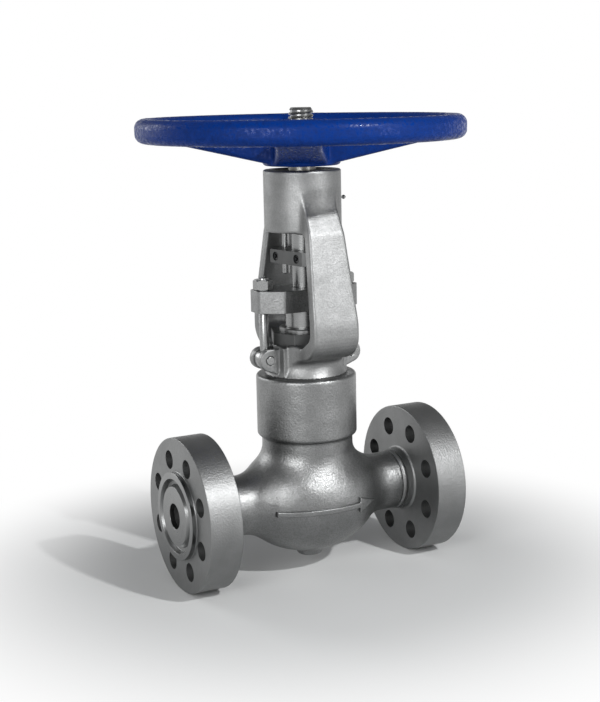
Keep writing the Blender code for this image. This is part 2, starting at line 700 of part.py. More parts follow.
def gland_outline():
    """The gland flange seen from above: long, with narrow ends."""
    half = gland_flange_length / 2
    end = GLAND_FLANGE_END / 2
    wide = GLAND_FLANGE_WIDTH / 2
    inner = half - GLAND_FLANGE_TAPER
    corners = [(half, -end), (half, end), (inner, wide), (-inner, wide),
               (-half, end), (-half, -end), (-inner, -wide), (inner, -wide)]
    return rounded(corners, {k: 0.004 for k in range(8)}, 1)


def make_gland(steel, bright, packing_top):
    """Gland bush, gland flange, swing bolts, their nuts and pins."""
    bore = bush_bore
    collar_bottom = gland_flange_bottom
    bush = [(GLAND_BUSH_RADIUS, collar_bottom - GAP), (GLAND_BUSH_RADIUS, packing_top + EDGE_BREAK),
            (GLAND_BUSH_RADIUS - EDGE_BREAK, packing_top), (bore, packing_top),
            (bore, collar_bottom - GAP)]
    pieces = [turned("gland_bush", bush, bright, NARROW_STEPS)]
    flange = prism("gland_flange", gland_outline(), gland_flange_bottom, gland_flange_top,
                   steel, GLAND_FLANGE_EDGE, 1)
    low = gland_flange_bottom - CUT_PAST
    high = gland_flange_top + CUT_PAST
    cuts = [cylinder_shape(bush_bore + LOOSE_FIT, (0, 0, low), (0, 0, high))]
    for side in (-1, 1):
        x = side * eye_bolt_offset
        cuts.append(cylinder_shape(EYE_BOLT_THREAD_RADIUS + LOOSE_FIT, (x, 0, low), (x, 0, high),
                                   SMALL_STEPS))
    combine(flange, cuts, "DIFFERENCE")
    pieces.append(flange)

    thread_start = hex_nut_top + EYE_BOLT_TIP - EYE_BOLT_THREAD_LENGTH
    rise = thread_start - ear_height
    tip = hex_nut_top + EYE_BOLT_TIP - ear_height
    shank = [(0.0, 0.0), (EYE_BOLT_RADIUS, 0.0), (EYE_BOLT_RADIUS, rise),
             (EYE_BOLT_THREAD_RADIUS, rise + EDGE_BREAK), (EYE_BOLT_THREAD_RADIUS, tip - 0.0015),
             (EYE_BOLT_THREAD_RADIUS - 0.0015, tip), (0.0, tip)]
    half = EYE_THICKNESS / 2
    eye = cylinder_shape(EYE_RADIUS, (0, -half, 0), (0, half, 0), NARROW_STEPS)
    pin_hole = cylinder_shape(PIN_RADIUS + GAP, (0, -2 * half, 0), (0, 2 * half, 0), SMALL_STEPS)
    bolt = turned("eye_bolt_inlet_side", shank, bright, SMALL_STEPS)
    combine(bolt, [eye], "UNION")
    combine(bolt, [pin_hole], "DIFFERENCE")
    nut = prism("eye_bolt_nut_inlet_side", polygon(6, HEX_NUT_ACROSS_FLATS, math.pi / 6), 0,
                HEX_NUT_HEIGHT, bright, 0.0012, 1)
    combine(nut, [cylinder_shape(EYE_BOLT_THREAD_RADIUS + GAP, (0, 0, -CUT_PAST),
                                 (0, 0, HEX_NUT_HEIGHT + CUT_PAST), SMALL_STEPS)], "DIFFERENCE")
    reach = EYE_THICKNESS / 2 + GAP + EAR_THICKNESS + PIN_HEAD
    pin = [(0.0, reach), (PIN_RADIUS - 0.0006, reach), (PIN_RADIUS, reach - 0.0006),
           (PIN_RADIUS, -reach + 0.0006), (PIN_RADIUS - 0.0006, -reach), (0.0, -reach)]
    swing_pin = turned("eye_bolt_pin_inlet_side", pin, bright, SMALL_STEPS)
    swing_pin.data.transform(Matrix.Rotation(math.pi / 2, 4, "X"))
    for piece, height in ((bolt, ear_height), (nut, hex_nut_bottom), (swing_pin, ear_height)):
        piece.location = (-eye_bolt_offset, 0, height)
        twin = copy_piece(piece, piece.name.replace("inlet", "outlet"))
        twin.location = (eye_bolt_offset, 0, height)
        pieces += [piece, twin]
    return pieces


def arm_outline(grow):
    """Half the yoke's outline seen along X, moved inwards by grow, as (reach, height)."""
    top = drum_top - ARM_TOP_DROP
    shoulder = drum_top - ARM_SHOULDER_DROP
    hip = yoke_bottom + HIP_HEIGHT
    knee = hip - HIP_STRAIGHT
    foot = yoke_bottom + 0.6 * YOKE_BASE_HEIGHT
    points = [(ARM_TOP_REACH - grow, top), (ARM_SHOULDER_REACH - grow, shoulder),
              (ARM_HIP_REACH - grow, hip), (ARM_HIP_REACH - grow, knee)]
    drop = knee - foot
    reach = ARM_HIP_REACH - YOKE_FOOT_RADIUS + 0.004
    for step in range(1, 7):
        turn = math.pi / 2 * step / 6
        points.append((ARM_HIP_REACH - grow - reach * (1 - math.cos(turn)),
                       knee - drop * math.sin(turn)))
    return points


def make_arms_shape():
    """Both yoke arms as one closed ring of walls, tapered wider towards the hips."""
    side = arm_outline(0.0)
    outline = side + [(-reach, height) for reach, height in reversed(side)]
    shape = prism_shape(outline, -0.5, 0.5)
    top = drum_top - ARM_TOP_DROP
    hip = yoke_bottom + HIP_HEIGHT
    bmesh.ops.bisect_plane(shape, geom=shape.verts[:] + shape.edges[:] + shape.faces[:],
                           dist=1e-6, plane_co=(0, hip, 0), plane_no=(0, 1, 0))
    for vert in shape.verts:
        reach, height, end = vert.co.x, vert.co.y, vert.co.z
        share = min(1.0, max(0.0, (top - height) / (top - hip)))
        width = ARM_TOP_WIDTH + (ARM_HIP_WIDTH - ARM_TOP_WIDTH) * share
        vert.co = (end * width, reach, height)
    bmesh.ops.recalc_face_normals(shape, faces=shape.faces)
    rims = [edge for edge in shape.edges
            if abs(edge.verts[0].co.x - edge.verts[1].co.x) < 0.02
            and not (abs(edge.verts[0].co.z - hip) < 1e-5 and abs(edge.verts[1].co.z - hip) < 1e-5)]
    bmesh.ops.bevel(shape, geom=rims, offset=ARM_EDGE, segments=1, profile=0.5,
                    affect="EDGES", clamp_overlap=True)
    return shape


def window_shape():
    """The opening through the yoke, between the arms, with rounded corners."""
    wall = ARM_THICKNESS
    slope = (ARM_HIP_REACH - ARM_SHOULDER_REACH) / (
        drum_top - ARM_SHOULDER_DROP - yoke_bottom - HIP_HEIGHT)
    hip = yoke_bottom + HIP_HEIGHT
    top_reach = ARM_HIP_REACH - wall - slope * (drum_bottom - hip)
    hip_reach = ARM_HIP_REACH - wall
    corners = [(top_reach, drum_bottom), (hip_reach, hip), (hip_reach, hip - HIP_STRAIGHT),
               (YOKE_FOOT_RADIUS, window_floor),
               (-YOKE_FOOT_RADIUS, window_floor), (-hip_reach, hip - HIP_STRAIGHT),
               (-hip_reach, hip), (-top_reach, drum_bottom)]
    soft = {0: WINDOW_CORNER, 1: 0.02, 2: 0.012, 3: WINDOW_CORNER,
            4: WINDOW_CORNER, 5: 0.012, 6: 0.02, 7: WINDOW_CORNER}
    shape = prism_shape(rounded(corners, soft, 3), -ARM_HIP_WIDTH, ARM_HIP_WIDTH)
    for vert in shape.verts:
        vert.co = (vert.co.z, vert.co.x, vert.co.y)
    bmesh.ops.recalc_face_normals(shape, faces=shape.faces)
    return shape


def ear_shape(side, face):
    """One ear of a clevis: a plate round the pin, with a web down to the foot's bottom."""
    centre = side * eye_bolt_offset
    inner = side * ear_root
    low = yoke_bottom + EAR_WEB_LIFT
    run, drop = EAR_WEB_INSET, ear_height - low
    tangent = math.acos(EAR_RADIUS / math.hypot(run, drop)) - math.atan2(drop, -run)
    outline = [(side * ear_web_reach, low), (inner, low), (inner, ear_height + EAR_RADIUS)]
    for step in range(8):
        turn = math.pi / 2 + (tangent - math.pi / 2) * step / 7
        outline.append((centre + side * EAR_RADIUS * math.cos(turn),
                        ear_height + EAR_RADIUS * math.sin(turn)))
    inside = face * (EYE_THICKNESS / 2 + GAP)
    outside = face * (EYE_THICKNESS / 2 + GAP + EAR_THICKNESS)
    shape = prism_shape(outline, min(inside, outside), max(inside, outside))
    for vert in shape.verts:
        vert.co = (vert.co.x, vert.co.z, vert.co.y)
    bmesh.ops.recalc_face_normals(shape, faces=shape.faces)
    return shape


def make_yoke(steel):
    """One-piece yoke: foot ring, two flared arms, bearing drum and clevis ears."""
    flare = YOKE_FOOT_FLARE
    foot = [(0.0, window_floor)]
    foot += [(YOKE_FOOT_RADIUS - 0.003, window_floor), (YOKE_FOOT_RADIUS, window_floor - 0.003)]
    for step in range(5):
        share = step / 4
        foot.append((YOKE_FOOT_RADIUS + flare * share ** 2,
                     yoke_bottom + EDGE_BREAK + YOKE_FLARE_HEIGHT * (1 - share)))
    foot += [(YOKE_FOOT_RADIUS + flare, yoke_bottom), (0.0, yoke_bottom)]
    yoke = turned("yoke", foot, steel, WIDE_STEPS)
    drum = [(0.0, drum_top), (DRUM_RADIUS - DRUM_EDGE, drum_top),
            (DRUM_RADIUS - 0.3 * DRUM_EDGE, drum_top - 0.3 * DRUM_EDGE),
            (DRUM_RADIUS, drum_top - DRUM_EDGE), (DRUM_RADIUS, drum_bottom),
            (0.0, drum_bottom)]
    combine(yoke, [make_arms_shape()], "UNION")
    combine(yoke, [window_shape()], "DIFFERENCE")
    pad_low = yoke_bottom + EAR_WEB_LIFT
    pads = [box_shape((min(side * ear_root, side * ear_pad_reach), -EAR_PAD_WIDTH / 2, pad_low),
                      (max(side * ear_root, side * ear_pad_reach), EAR_PAD_WIDTH / 2,
                       window_floor - EDGE_BREAK)) for side in (-1, 1)]
    ears = [ear_shape(side, face) for side in (-1, 1) for face in (-1, 1)]
    combine(yoke, [turned_shape(drum, WIDE_STEPS)] + pads + ears, "UNION")
    inner = BONNET_NECK_RADIUS + 2 * GAP
    bores = [cylinder_shape(inner, (0, 0, yoke_bottom - CUT_PAST), (0, 0, window_floor + CUT_PAST),
                            ROUND_STEPS),
             cylinder_shape(STEM_NUT_RADIUS + LOOSE_FIT, (0, 0, drum_bottom - CUT_PAST),
                            (0, 0, drum_top), ROUND_STEPS),
             cylinder_shape(DRUM_BORE_RADIUS, (0, 0, drum_bottom + DRUM_FLOOR),
                            (0, 0, drum_top + CUT_PAST), ROUND_STEPS)]
    for side in (-1, 1):
        x = side * eye_bolt_offset
        reach = EYE_THICKNESS / 2 + GAP + EAR_THICKNESS + CUT_PAST
        bores.append(cylinder_shape(PIN_RADIUS + GAP, (x, -reach, ear_height),
                                    (x, reach, ear_height), SMALL_STEPS))
        slot = EYE_THICKNESS / 2 + GAP
        bores.append(box_shape((x - EYE_RADIUS - 0.002, -slot, ear_height - EAR_RADIUS - 0.002),
                               (x + EYE_RADIUS + 0.002, slot, window_floor + 0.004)))
    bores.append(nipple_hole_shape())
    bores.append(cap_screw_hole_shape())
    bores += [guide_rod_hole_shape(face) for face in (-1, 1)]
    combine(yoke, bores, "DIFFERENCE")
    return yoke


def nipple_hole_shape():
    """The tapped hole for the grease nipple, through the drum wall."""
    height = drum_bottom + NIPPLE_HEIGHT_ON_DRUM
    return cylinder_shape(NIPPLE_THREAD_RADIUS + GAP, (DRUM_BORE_RADIUS - CUT_PAST / 2, 0, height),
                          (DRUM_RADIUS + CUT_PAST, 0, height), SMALL_STEPS)


def cap_screw_hole_shape():
    """The tapped hole for the bearing cap's set screw, through the drum wall."""
    height = cap_screw_height
    return cylinder_shape(CAP_SCREW_RADIUS + GAP, (0, DRUM_BORE_RADIUS - CUT_PAST / 2, height),
                          (0, DRUM_RADIUS + CUT_PAST, height), SMALL_STEPS)


def guide_rod_hole_shape(face):
    """The blind hole in the drum floor that holds a guide rod."""
    along = Vector((-math.sin(GUIDE_TURN), math.cos(GUIDE_TURN), 0)) * face * GUIDE_ROD_OFFSET
    return cylinder_shape(GUIDE_ROD_RADIUS + GAP, along + Vector((0, 0, drum_bottom - CUT_PAST)),
                          along + Vector((0, 0, drum_bottom + GUIDE_ROD_ENTRY + GAP)), SMALL_STEPS)


def make_drive(steel, bright):
    """Stem nut, thrust bearings, bearing cap, set screw and grease nipple."""
    bore = bush_bore
    neck = STEM_NUT_RADIUS
    wide = STEM_NUT_FLANGE_RADIUS
    end = hub_top + GAP + WHEEL_NUT_HEIGHT + 0.002
    start = drum_bottom + LOOSE_FIT
    nut = [(bore + EDGE_BREAK, start), (bore, start + EDGE_BREAK), (bore, end),
           (neck - EDGE_BREAK, end), (neck, end - EDGE_BREAK), (neck, nut_flange_top),
           (wide, nut_flange_top), (wide, nut_flange_bottom), (neck, nut_flange_bottom),
           (neck, start + EDGE_BREAK), (neck - EDGE_BREAK, start)]
    stem_nut = turned("stem_nut", nut, steel, NARROW_STEPS)
    combine(stem_nut, [key_shape(GAP)], "DIFFERENCE")
    pieces = [stem_nut]
    inner = neck + 2 * GAP
    bearing = ring("lower_thrust_bearing", inner, BEARING_RADIUS, 0, BEARING_HEIGHT, bright)
    bearing.location.z = bearing_bottom
    twin = copy_piece(bearing, "upper_thrust_bearing")
    twin.location.z = upper_bearing_bottom
    pieces += [bearing, twin]
    cap = ring("bearing_cap", neck + LOOSE_FIT, DRUM_BORE_RADIUS - GAP, cap_bottom, cap_top, steel)
    pieces.append(cap)
    height = cap_screw_height
    start = DRUM_BORE_RADIUS + GAP
    pieces.append(finish_mesh("cap_set_screw", cylinder_shape(
        CAP_SCREW_RADIUS, (0, start, height), (0, start + CAP_SCREW_LENGTH, height), SMALL_STEPS), bright))
    height = drum_bottom + NIPPLE_HEIGHT_ON_DRUM
    stalk = NIPPLE_THREAD_RADIUS
    profile = [(0.0, -0.010), (stalk, -0.010), (stalk, GAP), (stalk * 1.35, 2 * GAP),
               (stalk * 1.35, 0.004), (stalk * 0.6, 0.0055), (stalk * 0.6, 0.0095),
               (NIPPLE_HEAD_RADIUS, 0.0115), (NIPPLE_HEAD_RADIUS, 0.0135),
               (stalk * 0.5, NIPPLE_LENGTH), (0.0, NIPPLE_LENGTH)]
    nipple = turned("grease_nipple", profile, steel, SMALL_STEPS)
    nipple.data.transform(Matrix.Rotation(math.pi / 2, 4, "Y"))
    nipple.location = (DRUM_RADIUS, 0, height)
    pieces.append(nipple)
    return pieces


def key_shape(grow):
    """The key between the stem nut and the hub, grown on all sides by a clearance."""
    half = KEY_WIDTH / 2 + grow
    middle = (hub_bottom + hub_top) / 2
    reach = KEY_LENGTH / 2 + grow
    return box_shape((STEM_NUT_RADIUS - KEY_DEPTH / 2 - grow, -half, middle - reach),
                     (STEM_NUT_RADIUS + KEY_DEPTH / 2 + grow, half, middle + reach))


def spoke_shape(turn):
    """One spoke: a beam that rises and narrows from the hub to the rim."""
    rim_inner = WHEEL_RADIUS - RIM_WIDTH * 0.6
    root = HUB_RADIUS - 0.012
    stations = 7
    shape = bmesh.new()
    rows = []
    for step in range(stations):
        share = step / (stations - 1)
        radius = root + (rim_inner - root) * share
        ease = (1 - share) ** 3
        width = SPOKE_TIP_WIDTH + (SPOKE_ROOT_WIDTH - SPOKE_TIP_WIDTH) * ease
        depth = SPOKE_ROOT_DEPTH + (SPOKE_TIP_DEPTH - SPOKE_ROOT_DEPTH) * share
        low = hub_bottom + 0.003
        high = rim_middle - SPOKE_TIP_DEPTH / 2
        base = low + (high - low) * share
        outline = rounded([(-width / 2, base), (width / 2, base), (width / 2, base + depth),
                           (-width / 2, base + depth)], {k: 0.006 for k in range(4)}, 1)
        rows.append([shape.verts.new((radius, side, height)) for side, height in outline])
    for near, far in zip(rows, rows[1:]):
        for k in range(len(near)):
            follower = (k + 1) % len(near)
            shape.faces.new((near[k], near[follower], far[follower], far[k]))
    shape.faces.new(rows[0])
    shape.faces.new(rows[-1])
    bmesh.ops.recalc_face_normals(shape, faces=shape.faces)
    return move_shape(shape, Matrix.Rotation(turn, 4, "Z"))


def make_handwheel(paint, bright):
    """Dished handwheel with its key and its nut."""
    half = RIM_HEIGHT / 2
    inner = WHEEL_RADIUS - RIM_WIDTH
    corners = [(WHEEL_RADIUS, rim_middle + half), (WHEEL_RADIUS, rim_middle - half),
               (inner, rim_middle - half), (inner, rim_middle + half)]
    rim = rounded(corners, {k: 0.0135 for k in range(4)}, 2)
    wheel = turned("handwheel", rim, paint, RIM_STEPS)
    hub = [(HUB_RADIUS - HUB_EDGE, hub_top), (HUB_RADIUS, hub_top - HUB_EDGE),
           (HUB_RADIUS, hub_bottom + HUB_EDGE), (HUB_RADIUS - HUB_EDGE, hub_bottom),
           (0.0, hub_bottom), (0.0, hub_top)]
    spokes = [spoke_shape(SPOKE_TURN + 2 * math.pi * k / SPOKES) for k in range(SPOKES)]
    combine(wheel, spokes + [turned_shape(hub)], "UNION")
    bore = cylinder_shape(STEM_NUT_RADIUS + GAP, (0, 0, hub_bottom - 0.02),
                          (0, 0, hub_top + 0.02), ROUND_STEPS)
    combine(wheel, [bore, key_shape(GAP)], "DIFFERENCE")
    key = finish_mesh("handwheel_key", key_shape(0.0), bright)
    nut = prism("handwheel_nut", polygon(6, WHEEL_NUT_ACROSS_FLATS), hub_top + GAP,
                hub_top + GAP + WHEEL_NUT_HEIGHT, bright, 0.0015, 1)
    combine(nut, [cylinder_shape(STEM_NUT_RADIUS + GAP, (0, 0, hub_top - WHEEL_NUT_HEIGHT),
                                 (0, 0, hub_top + 2 * WHEEL_NUT_HEIGHT), ROUND_STEPS)],
            "DIFFERENCE")
    return [wheel, key, nut]


def guide_outline():
    """Half of the guide seen from above: a long plate with chamfered ends."""
    face = GUIDE_HALF_WIDTH
    flat = GUIDE_FACE_LENGTH / 2
    long = GUIDE_HALF_LENGTH
    split = GUIDE_SPLIT / 2
    return [(-split, -long), (-split, long), (-face * 0.45, long), (-face, flat),
            (-face, -flat), (-face * 0.45, -long)]


def make_guide(steel, bright):
    """Two-part anti-rotation guide on the stem, its screws and the two guide rods."""
    turn = Matrix.Rotation(GUIDE_TURN, 4, "Z")
    top = guide_bottom + GUIDE_HEIGHT
    middle = (guide_bottom + top) / 2
    outline = rounded(guide_outline(), {3: 0.002, 4: 0.002}, 1)
    half = prism("guide_half_inlet_side", outline, guide_bottom, top, steel, 0.0012, 1)
    cuts = [cylinder_shape(STEM_RADIUS + GAP, (0, 0, guide_bottom - CUT_PAST),
                           (0, 0, top + CUT_PAST))]
    deep = GUIDE_HALF_WIDTH - GUIDE_SCREW_HEAD_HEIGHT - EDGE_BREAK
    for face in (-1, 1):
        y = face * GUIDE_ROD_OFFSET
        cuts.append(cylinder_shape(GUIDE_ROD_RADIUS + 2 * GAP, (0, y, guide_bottom - CUT_PAST),
                                   (0, y, top + CUT_PAST), SMALL_STEPS))
        y = face * GUIDE_SCREW_OFFSET
        cuts.append(cylinder_shape(GUIDE_SCREW_RADIUS + GAP, (-GUIDE_HALF_WIDTH - CUT_PAST, y, middle),
                                   (CUT_PAST, y, middle), SMALL_STEPS))
        cuts.append(cylinder_shape(GUIDE_SCREW_HEAD_RADIUS + GAP,
                                   (-GUIDE_HALF_WIDTH - CUT_PAST, y, middle), (-deep, y, middle),
                                   SMALL_STEPS))
    combine(half, cuts, "DIFFERENCE")
    half.data.transform(turn)
    other = copy_piece(half, "guide_half_outlet_side")
    other.rotation_euler.z = math.pi
    pieces = [half, other]
    seat = deep + GAP
    profile = [(0.0, -deep), (GUIDE_SCREW_RADIUS, -deep), (GUIDE_SCREW_RADIUS, seat),
               (GUIDE_SCREW_HEAD_RADIUS, seat),
               (GUIDE_SCREW_HEAD_RADIUS, seat + GUIDE_SCREW_HEAD_HEIGHT - 0.0006),
               (GUIDE_SCREW_HEAD_RADIUS - 0.0006, seat + GUIDE_SCREW_HEAD_HEIGHT),
               (0.0, seat + GUIDE_SCREW_HEAD_HEIGHT)]
    screw = turned("guide_screw_far", profile, bright, SMALL_STEPS)
    screw.data.transform(Matrix.Rotation(-math.pi / 2, 4, "Y"))
    rod_profile = [(0.0, -GUIDE_ROD_LENGTH), (GUIDE_ROD_RADIUS - EDGE_BREAK, -GUIDE_ROD_LENGTH),
                   (GUIDE_ROD_RADIUS, -GUIDE_ROD_LENGTH + EDGE_BREAK),
                   (GUIDE_ROD_RADIUS, GUIDE_ROD_ENTRY), (0.0, GUIDE_ROD_ENTRY)]
    rod = turned("guide_rod_far", rod_profile, bright, SMALL_STEPS)
    for piece, offset, height in ((screw, GUIDE_SCREW_OFFSET, middle),
                                  (rod, GUIDE_ROD_OFFSET, drum_bottom)):
        near = copy_piece(piece, piece.name.replace("far", "near"))
        for item, face in ((piece, 1), (near, -1)):
            spot = turn @ Vector((0, face * offset, 0))
            item.location = (spot.x, spot.y, height)
            item.rotation_euler.z = GUIDE_TURN
            pieces.append(item)
    return pieces


def add_axis(name, children):
    """An empty on the stem's axis that carries the pieces that move together."""
    axis = bpy.data.objects.new(name, None)
    bpy.context.scene.collection.objects.link(axis)
    for child in children:
        child.parent = axis
    return axis


def build_valve():
    """Model every piece and group the moving ones on their axes."""
    clear_scene()
    cast = make_material("cast_stainless_steel", (0.33, 0.33, 0.34), 0.45)
    machined = make_material("machined_stainless_steel", (0.42, 0.42, 0.43), 0.33)
    bright = make_material("bright_steel", (0.60, 0.60, 0.60), 0.22)
    graphite = make_material("packing_graphite", (0.03, 0.03, 0.032), 0.6, 0.2)
    paint = make_material("handwheel_blue_paint", (0.012, 0.045, 0.38), 0.3, 0.0)
    make_body(cast)
    make_flange("inlet_flange", -1, machined)
    make_flange("outlet_flange", 1, machined)
    trim = {piece.name: piece for piece in make_trim(machined, bright)}
    _, packing_top = make_bonnet(machined, graphite, bright)
    make_gland(cast, bright, packing_top)
    make_yoke(cast)
    drive = {piece.name: piece for piece in make_drive(machined, bright)}
    wheel = make_handwheel(paint, bright)
    guide = {piece.name: piece for piece in make_guide(machined, bright)}
    rising = [trim["stem"], trim["disc"], trim["disc_nut"]]
    rising += [piece for name, piece in guide.items() if "rod" not in name]
    add_axis("stem_axis", rising)
    add_axis("handwheel_axis", wheel + [drive["stem_nut"]])


build_valve()
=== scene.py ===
import json
import math

import bmesh
import bpy
import numpy as np
from mathutils import Matrix, Vector


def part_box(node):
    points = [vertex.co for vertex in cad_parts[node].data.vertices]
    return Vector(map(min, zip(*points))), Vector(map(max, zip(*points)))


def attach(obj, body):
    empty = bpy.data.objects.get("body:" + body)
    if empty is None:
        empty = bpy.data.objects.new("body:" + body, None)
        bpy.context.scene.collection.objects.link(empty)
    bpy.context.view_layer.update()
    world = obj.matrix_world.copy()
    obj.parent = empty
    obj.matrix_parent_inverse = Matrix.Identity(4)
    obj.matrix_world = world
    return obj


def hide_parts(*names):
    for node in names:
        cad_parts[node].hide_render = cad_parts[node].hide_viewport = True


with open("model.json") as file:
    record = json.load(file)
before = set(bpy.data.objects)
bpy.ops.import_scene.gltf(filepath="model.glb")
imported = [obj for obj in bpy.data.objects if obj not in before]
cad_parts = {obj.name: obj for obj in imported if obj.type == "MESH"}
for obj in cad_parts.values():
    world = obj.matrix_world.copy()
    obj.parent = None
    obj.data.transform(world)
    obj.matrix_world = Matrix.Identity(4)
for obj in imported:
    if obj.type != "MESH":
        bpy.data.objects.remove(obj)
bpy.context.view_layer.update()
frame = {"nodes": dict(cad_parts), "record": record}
print("frame loaded")

mm = 0.001


# nodes and colours
def toLinear(code):  # "#rrggbb" in sRGB to linear red, green, blue
    parts = [int(code[k:k + 2], 16) / 255 for k in (1, 3, 5)]
    return [c / 12.92 if c <= 0.04045 else ((c + 0.055) / 1.055) ** 2.4 for c in parts]


def addNode(tree, kind, settings=None, inputs=None):  # inputs: a value, or a socket to link
    node = tree.nodes.new(kind)
    for key, value in (settings or {}).items():
        setattr(node, key, value)
    for key, value in (inputs or {}).items():
        if isinstance(value, bpy.types.NodeSocket):
            tree.links.new(value, node.inputs[key])
        else:
            node.inputs[key].default_value = value
    return node


def startMaterial(name, colour, metallic, roughness):
    material = bpy.data.materials.new(name)
    material.use_nodes = True
    shader = material.node_tree.nodes["Principled BSDF"]
    shader.inputs["Base Color"].default_value = (*toLinear(colour), 1)
    shader.inputs["Metallic"].default_value = metallic
    shader.inputs["Roughness"].default_value = roughness
    place = addNode(material.node_tree, "ShaderNodeTexCoord").outputs["Object"]
    return material, material.node_tree, shader, place


def grain(tree, place, size, detail=3.0, roughness=0.55):  # noise whose blobs are size across
    return addNode(tree, "ShaderNodeTexNoise", None, {
        "Vector": place, "Scale": 1 / size, "Detail": detail, "Roughness": roughness})


def between(tree, factor, low, high, fromLow=0.3, fromHigh=0.7):  # factor spread over low..high
    return addNode(tree, "ShaderNodeMapRange", None, {
        "Value": factor, "From Min": fromLow, "From Max": fromHigh, "To Min": low,
        "To Max": high}).outputs["Result"]


def mixColours(tree, factor, first, second):
    node = addNode(tree, "ShaderNodeMix", {"data_type": "RGBA"}, {0: factor})
    for index, colour in ((6, first), (7, second)):
        if isinstance(colour, bpy.types.NodeSocket):
            tree.links.new(colour, node.inputs[index])
        else:
            node.inputs[index].default_value = (*toLinear(colour), 1)
    return node.outputs[2]


def bump(tree, height, depth, strength=1.0, under=None):  # depth in metres
    inputs = {"Height": height, "Distance": depth, "Strength": strength}
    if under:
        inputs["Normal"] = under
    return addNode(tree, "ShaderNodeBump", None, inputs).outputs["Normal"]


def stretched(tree, place, turn, scale):  # turned, then squeezed along X, so that blobs become strokes
    return addNode(tree, "ShaderNodeMapping", {"vector_type": "POINT"}, {
        "Vector": place, "Rotation": turn, "Scale": scale}).outputs["Vector"]


castLook = {"light": "#8b8c8c", "dark": "#7b7c7c", "patch": 34 * mm, "fleck": "#6c6d6d",
            "grit": 2.6 * mm, "gritDepth": 0.25 * mm, "stroke": 2.4 * mm, "strokeDepth": 0.10 * mm,
            "waveSize": 14 * mm, "waveDepth": 0.30 * mm, "smoothest": 0.41, "roughest": 0.52}


def castSteel(name, relief, fleck, gloss):
    # stainless casting, blasted and dressed by hand: satin grey, peened grain, faint grinding
    # strokes and slow waves from the mould, deeper where it wasn't dressed. The real grain is
    # 0.5 mm and is drawn coarser to show
    look = castLook
    material, tree, shader, place = startMaterial(name, look["light"], 1.0, 0.48)
    patches = grain(tree, place, look["patch"], 3.0).outputs["Fac"]
    grit = grain(tree, place, look["grit"], 3.0, 0.65).outputs["Fac"]
    waves = grain(tree, place, look["waveSize"], 2.0, 0.4).outputs["Fac"]
    across = stretched(tree, place, (0.5, 0.9, 0.7), (0.16, 1, 1))
    strokes = grain(tree, across, look["stroke"], 2.0).outputs["Fac"]
    colour = mixColours(tree, between(tree, patches, 0, 1), look["dark"], look["light"])
    colour = mixColours(tree, between(tree, grit, fleck, 0, 0.36, 0.56), colour, look["fleck"])
    tree.links.new(colour, shader.inputs["Base Color"])
    rough = between(tree, grit, look["roughest"] - gloss, look["smoothest"] - gloss)
    tree.links.new(rough, shader.inputs["Roughness"])
    under = bump(tree, waves, look["waveDepth"] * relief)
    under = bump(tree, strokes, look["strokeDepth"] * relief, 1.0, under)
    tree.links.new(bump(tree, grit, look["gritDepth"] * relief, 1.0, under), shader.inputs["Normal"])
    return material


turnedLook = {"feed": 0.6 * mm, "patch": 40 * mm, "grit": 2.8 * mm}


def turnedSteel(name, axis, light, dark, roughness, lineDepth, gritDepth=0.0, fineFrom=None):
    # stainless turned on a lathe: fine rings round the axis. With grit it was blasted matt after
    # turning, and beyond fineFrom, measured along the axis, the fine turning was left bright
    look = turnedLook
    material, tree, shader, place = startMaterial(name, light, 1.0, roughness)
    split = addNode(tree, "ShaderNodeSeparateXYZ", None, {"Vector": place})
    along = split.outputs[axis]
    across = [split.outputs[k] for k in ("X", "Y", "Z") if k != axis]
    flat = addNode(tree, "ShaderNodeCombineXYZ", None, {"X": across[0], "Y": across[1]})
    radius = addNode(tree, "ShaderNodeVectorMath", {"operation": "LENGTH"},
                     {0: flat.outputs["Vector"]}).outputs["Value"]
    rings = addNode(tree, "ShaderNodeCombineXYZ", None, {"X": along, "Y": radius})
    lines = grain(tree, rings.outputs["Vector"], look["feed"], 2.0, 0.7).outputs["Fac"]
    patches = grain(tree, place, look["patch"], 3.0).outputs["Fac"]
    mixed = mixColours(tree, between(tree, patches, 0, 1), dark, light)
    tree.links.new(mixed, shader.inputs["Base Color"])
    spread = 0.04 if lineDepth > 0.003 * mm else 0.01
    rough = between(tree, lines, roughness - spread, roughness + spread)
    blasted = None
    if fineFrom:
        out = addNode(tree, "ShaderNodeMath", {"operation": "ABSOLUTE"}, {0: along}).outputs[0]
        blasted = addNode(tree, "ShaderNodeMath", {"operation": "LESS_THAN"},
                          {0: out, 1: fineFrom}).outputs[0]
        drop = between(tree, blasted, 0.18, 0.0, 0, 1)
        rough = addNode(tree, "ShaderNodeMath", {"operation": "SUBTRACT"},
                        {0: rough, 1: drop}).outputs[0]
    tree.links.new(rough, shader.inputs["Roughness"])
    surface = bump(tree, lines, lineDepth)
    if gritDepth:
        grit = grain(tree, place, look["grit"], 2.0, 0.6).outputs["Fac"]
        strength = blasted if blasted else 1.0
        surface = bump(tree, grit, gritDepth, strength, surface)
    tree.links.new(surface, shader.inputs["Normal"])
    return material


paintLook = {"blue": "#012b72", "deep": "#01215c", "peel": 5 * mm, "peelDepth": 0.30 * mm,
             "cast": 26 * mm, "castDepth": 0.9 * mm, "glossy": 0.11, "dull": 0.52}


